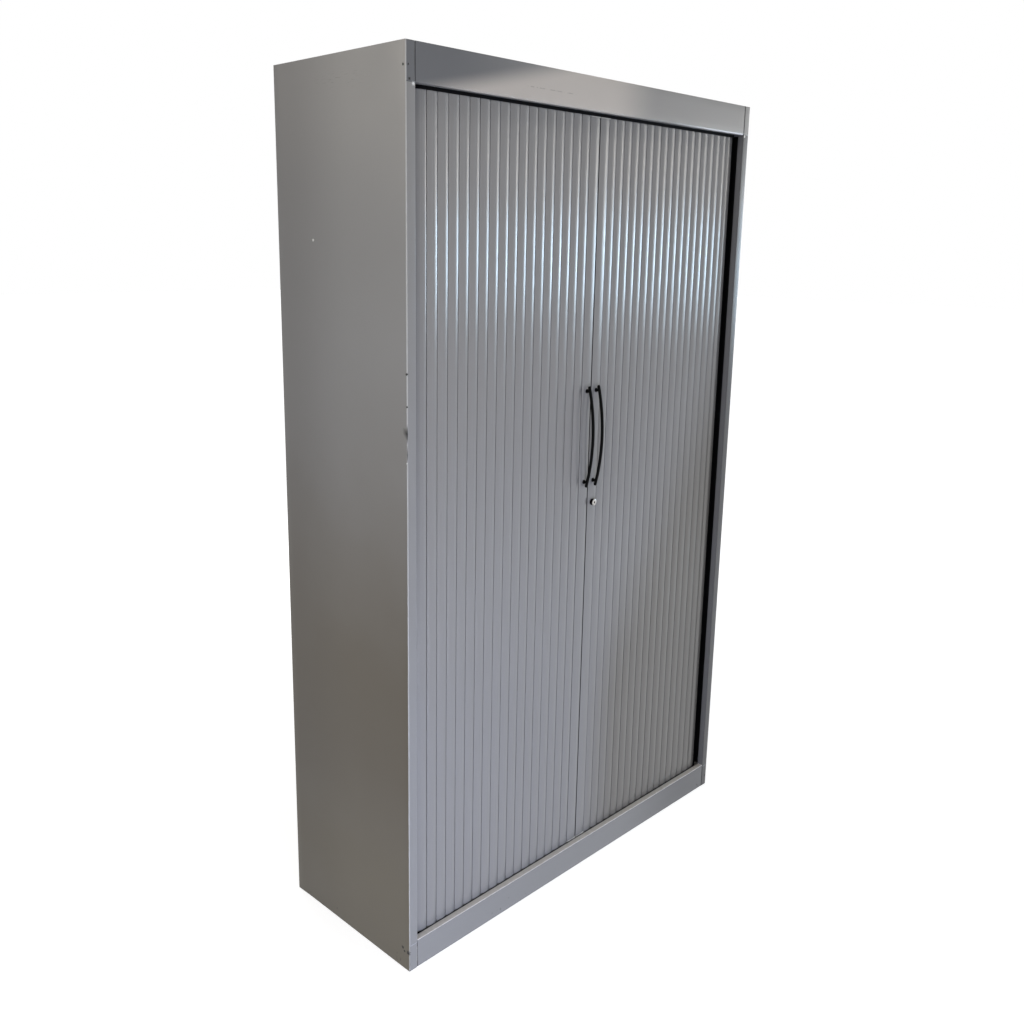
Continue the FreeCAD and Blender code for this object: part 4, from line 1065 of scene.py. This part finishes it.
def world(level):
    """A plain world: white where it is seen or reflected, and a level of light elsewhere."""
    sky = bpy.data.worlds.new("studio")
    bpy.context.scene.world = sky
    sky.use_nodes = True
    tree = sky.node_tree
    rays = tree.nodes.new("ShaderNodeLightPath").outputs
    seen = rays["Is Camera Ray"]
    for ray in ("Is Glossy Ray", "Is Transmission Ray"):
        either = tree.nodes.new("ShaderNodeMath")
        either.operation = "MAXIMUM"
        tree.links.new(seen, either.inputs[0])
        tree.links.new(rays[ray], either.inputs[1])
        seen = either.outputs[0]
    strength = tree.nodes.new("ShaderNodeMapRange")
    strength.inputs["To Min"].default_value = level
    strength.inputs["To Max"].default_value = 1.0
    tree.links.new(seen, strength.inputs["Value"])
    back = tree.nodes["Background"]
    back.inputs["Color"].default_value = (1.0, 1.0, 1.0, 1.0)
    tree.links.new(strength.outputs["Result"], back.inputs["Strength"])


def lamp(name, place, target, size, power, colour, glossy=True):
    """An area lamp of a width and height in metres and a power in watts, turned to a point."""
    light = bpy.data.lights.new(name, "AREA")
    light.shape = "RECTANGLE"
    light.size, light.size_y = size
    light.energy = power
    light.color = colour
    thing = bpy.data.objects.new(name, light)
    thing.location = place
    thing.rotation_mode = "QUATERNION"
    thing.rotation_quaternion = (Vector(target) - Vector(place)).to_track_quat("-Z", "Y")
    thing.visible_camera = False
    thing.visible_glossy = glossy
    bpy.context.scene.collection.objects.link(thing)


def camera():
    """At the photographed view, as solved from the cupboard's corners. Focal and centre are in pixels."""
    frame_size, focal = 1024, 1010.69
    centre_x, centre_y = 489.09, 475.86
    data = bpy.data.cameras.new("camera")
    data.sensor_width = 36
    data.lens = focal / frame_size * data.sensor_width
    data.shift_x = (frame_size / 2 - centre_x) / frame_size
    data.shift_y = (centre_y - frame_size / 2) / frame_size
    data.clip_start, data.clip_end = 0.05, 100
    eye = bpy.data.objects.new("camera", data)
    forward = Vector((0.69183188, 0.68745635, -0.22084478))
    up = Vector((0.14695125, 0.16540103, 0.97521681))
    right = forward.cross(up).normalized()
    up = right.cross(forward).normalized()
    eye.matrix_world = Matrix((right, up, -forward)).transposed().to_4x4()
    eye.location = (-1.89505, -1.73654, 1.60799)
    bpy.context.scene.collection.objects.link(eye)
    bpy.context.scene.camera = eye


floor()
world(0.15)
lamp("window_high", (3.613, -1.916, 2.02), (0.0, -0.2, 1.7), (0.8, 0.55), 7, (1.0, 0.95, 0.88))
lamp("window", (3.613, -1.916, 1.46), (0.0, -0.2, 1.5), (0.9, 0.62), 11, (0.68, 0.86, 1.0))
lamp("window_side", (4.1, -1.35, 1.56), (0.3, -0.2, 1.55), (0.9, 0.5), 18, (0.58, 0.80, 1.0))
lamp("right_wall", (3.2, -2.2, 1.9), (0.0, -0.2, 1.7), (1.2, 1.0), 6, (1.0, 0.94, 0.86), glossy=False)
lamp("left_floor", (-1.1, -1.5, 0.3), (-0.5, -0.2, 0.25), (0.6, 0.35), 15, (0.66, 0.73, 1.0), glossy=False)
lamp("blue_floor", (-0.5, -2.2, 0.12), (-0.4, -0.2, 0.5), (1.4, 0.2), 11, (0.84, 0.89, 1.0), glossy=False)
lamp("left_wall", (-3.4, 2.3, 2.7), (-0.6, 0.0, 1.8), (1.6, 1.2), 18, (1.0, 0.92, 0.80))
lamp("left_near", (-1.5, -0.75, 1.6), (-0.6, -0.2, 1.35), (0.5, 0.5), 5, (1.0, 0.96, 0.90), glossy=False)
lamp("rear", (0.5, 3.4, 1.6), (0.0, 0.2, 1.0), (2.0, 1.6), 45, (1.0, 0.98, 0.96), glossy=False)
lamp("ceiling", (-0.2, -0.85, 3.5), (0.0, -0.2, 0.0), (1.6, 0.4), 14, (1.0, 0.95, 0.88), glossy=False)
camera()
bpy.context.scene.view_settings.view_transform = "Standard"
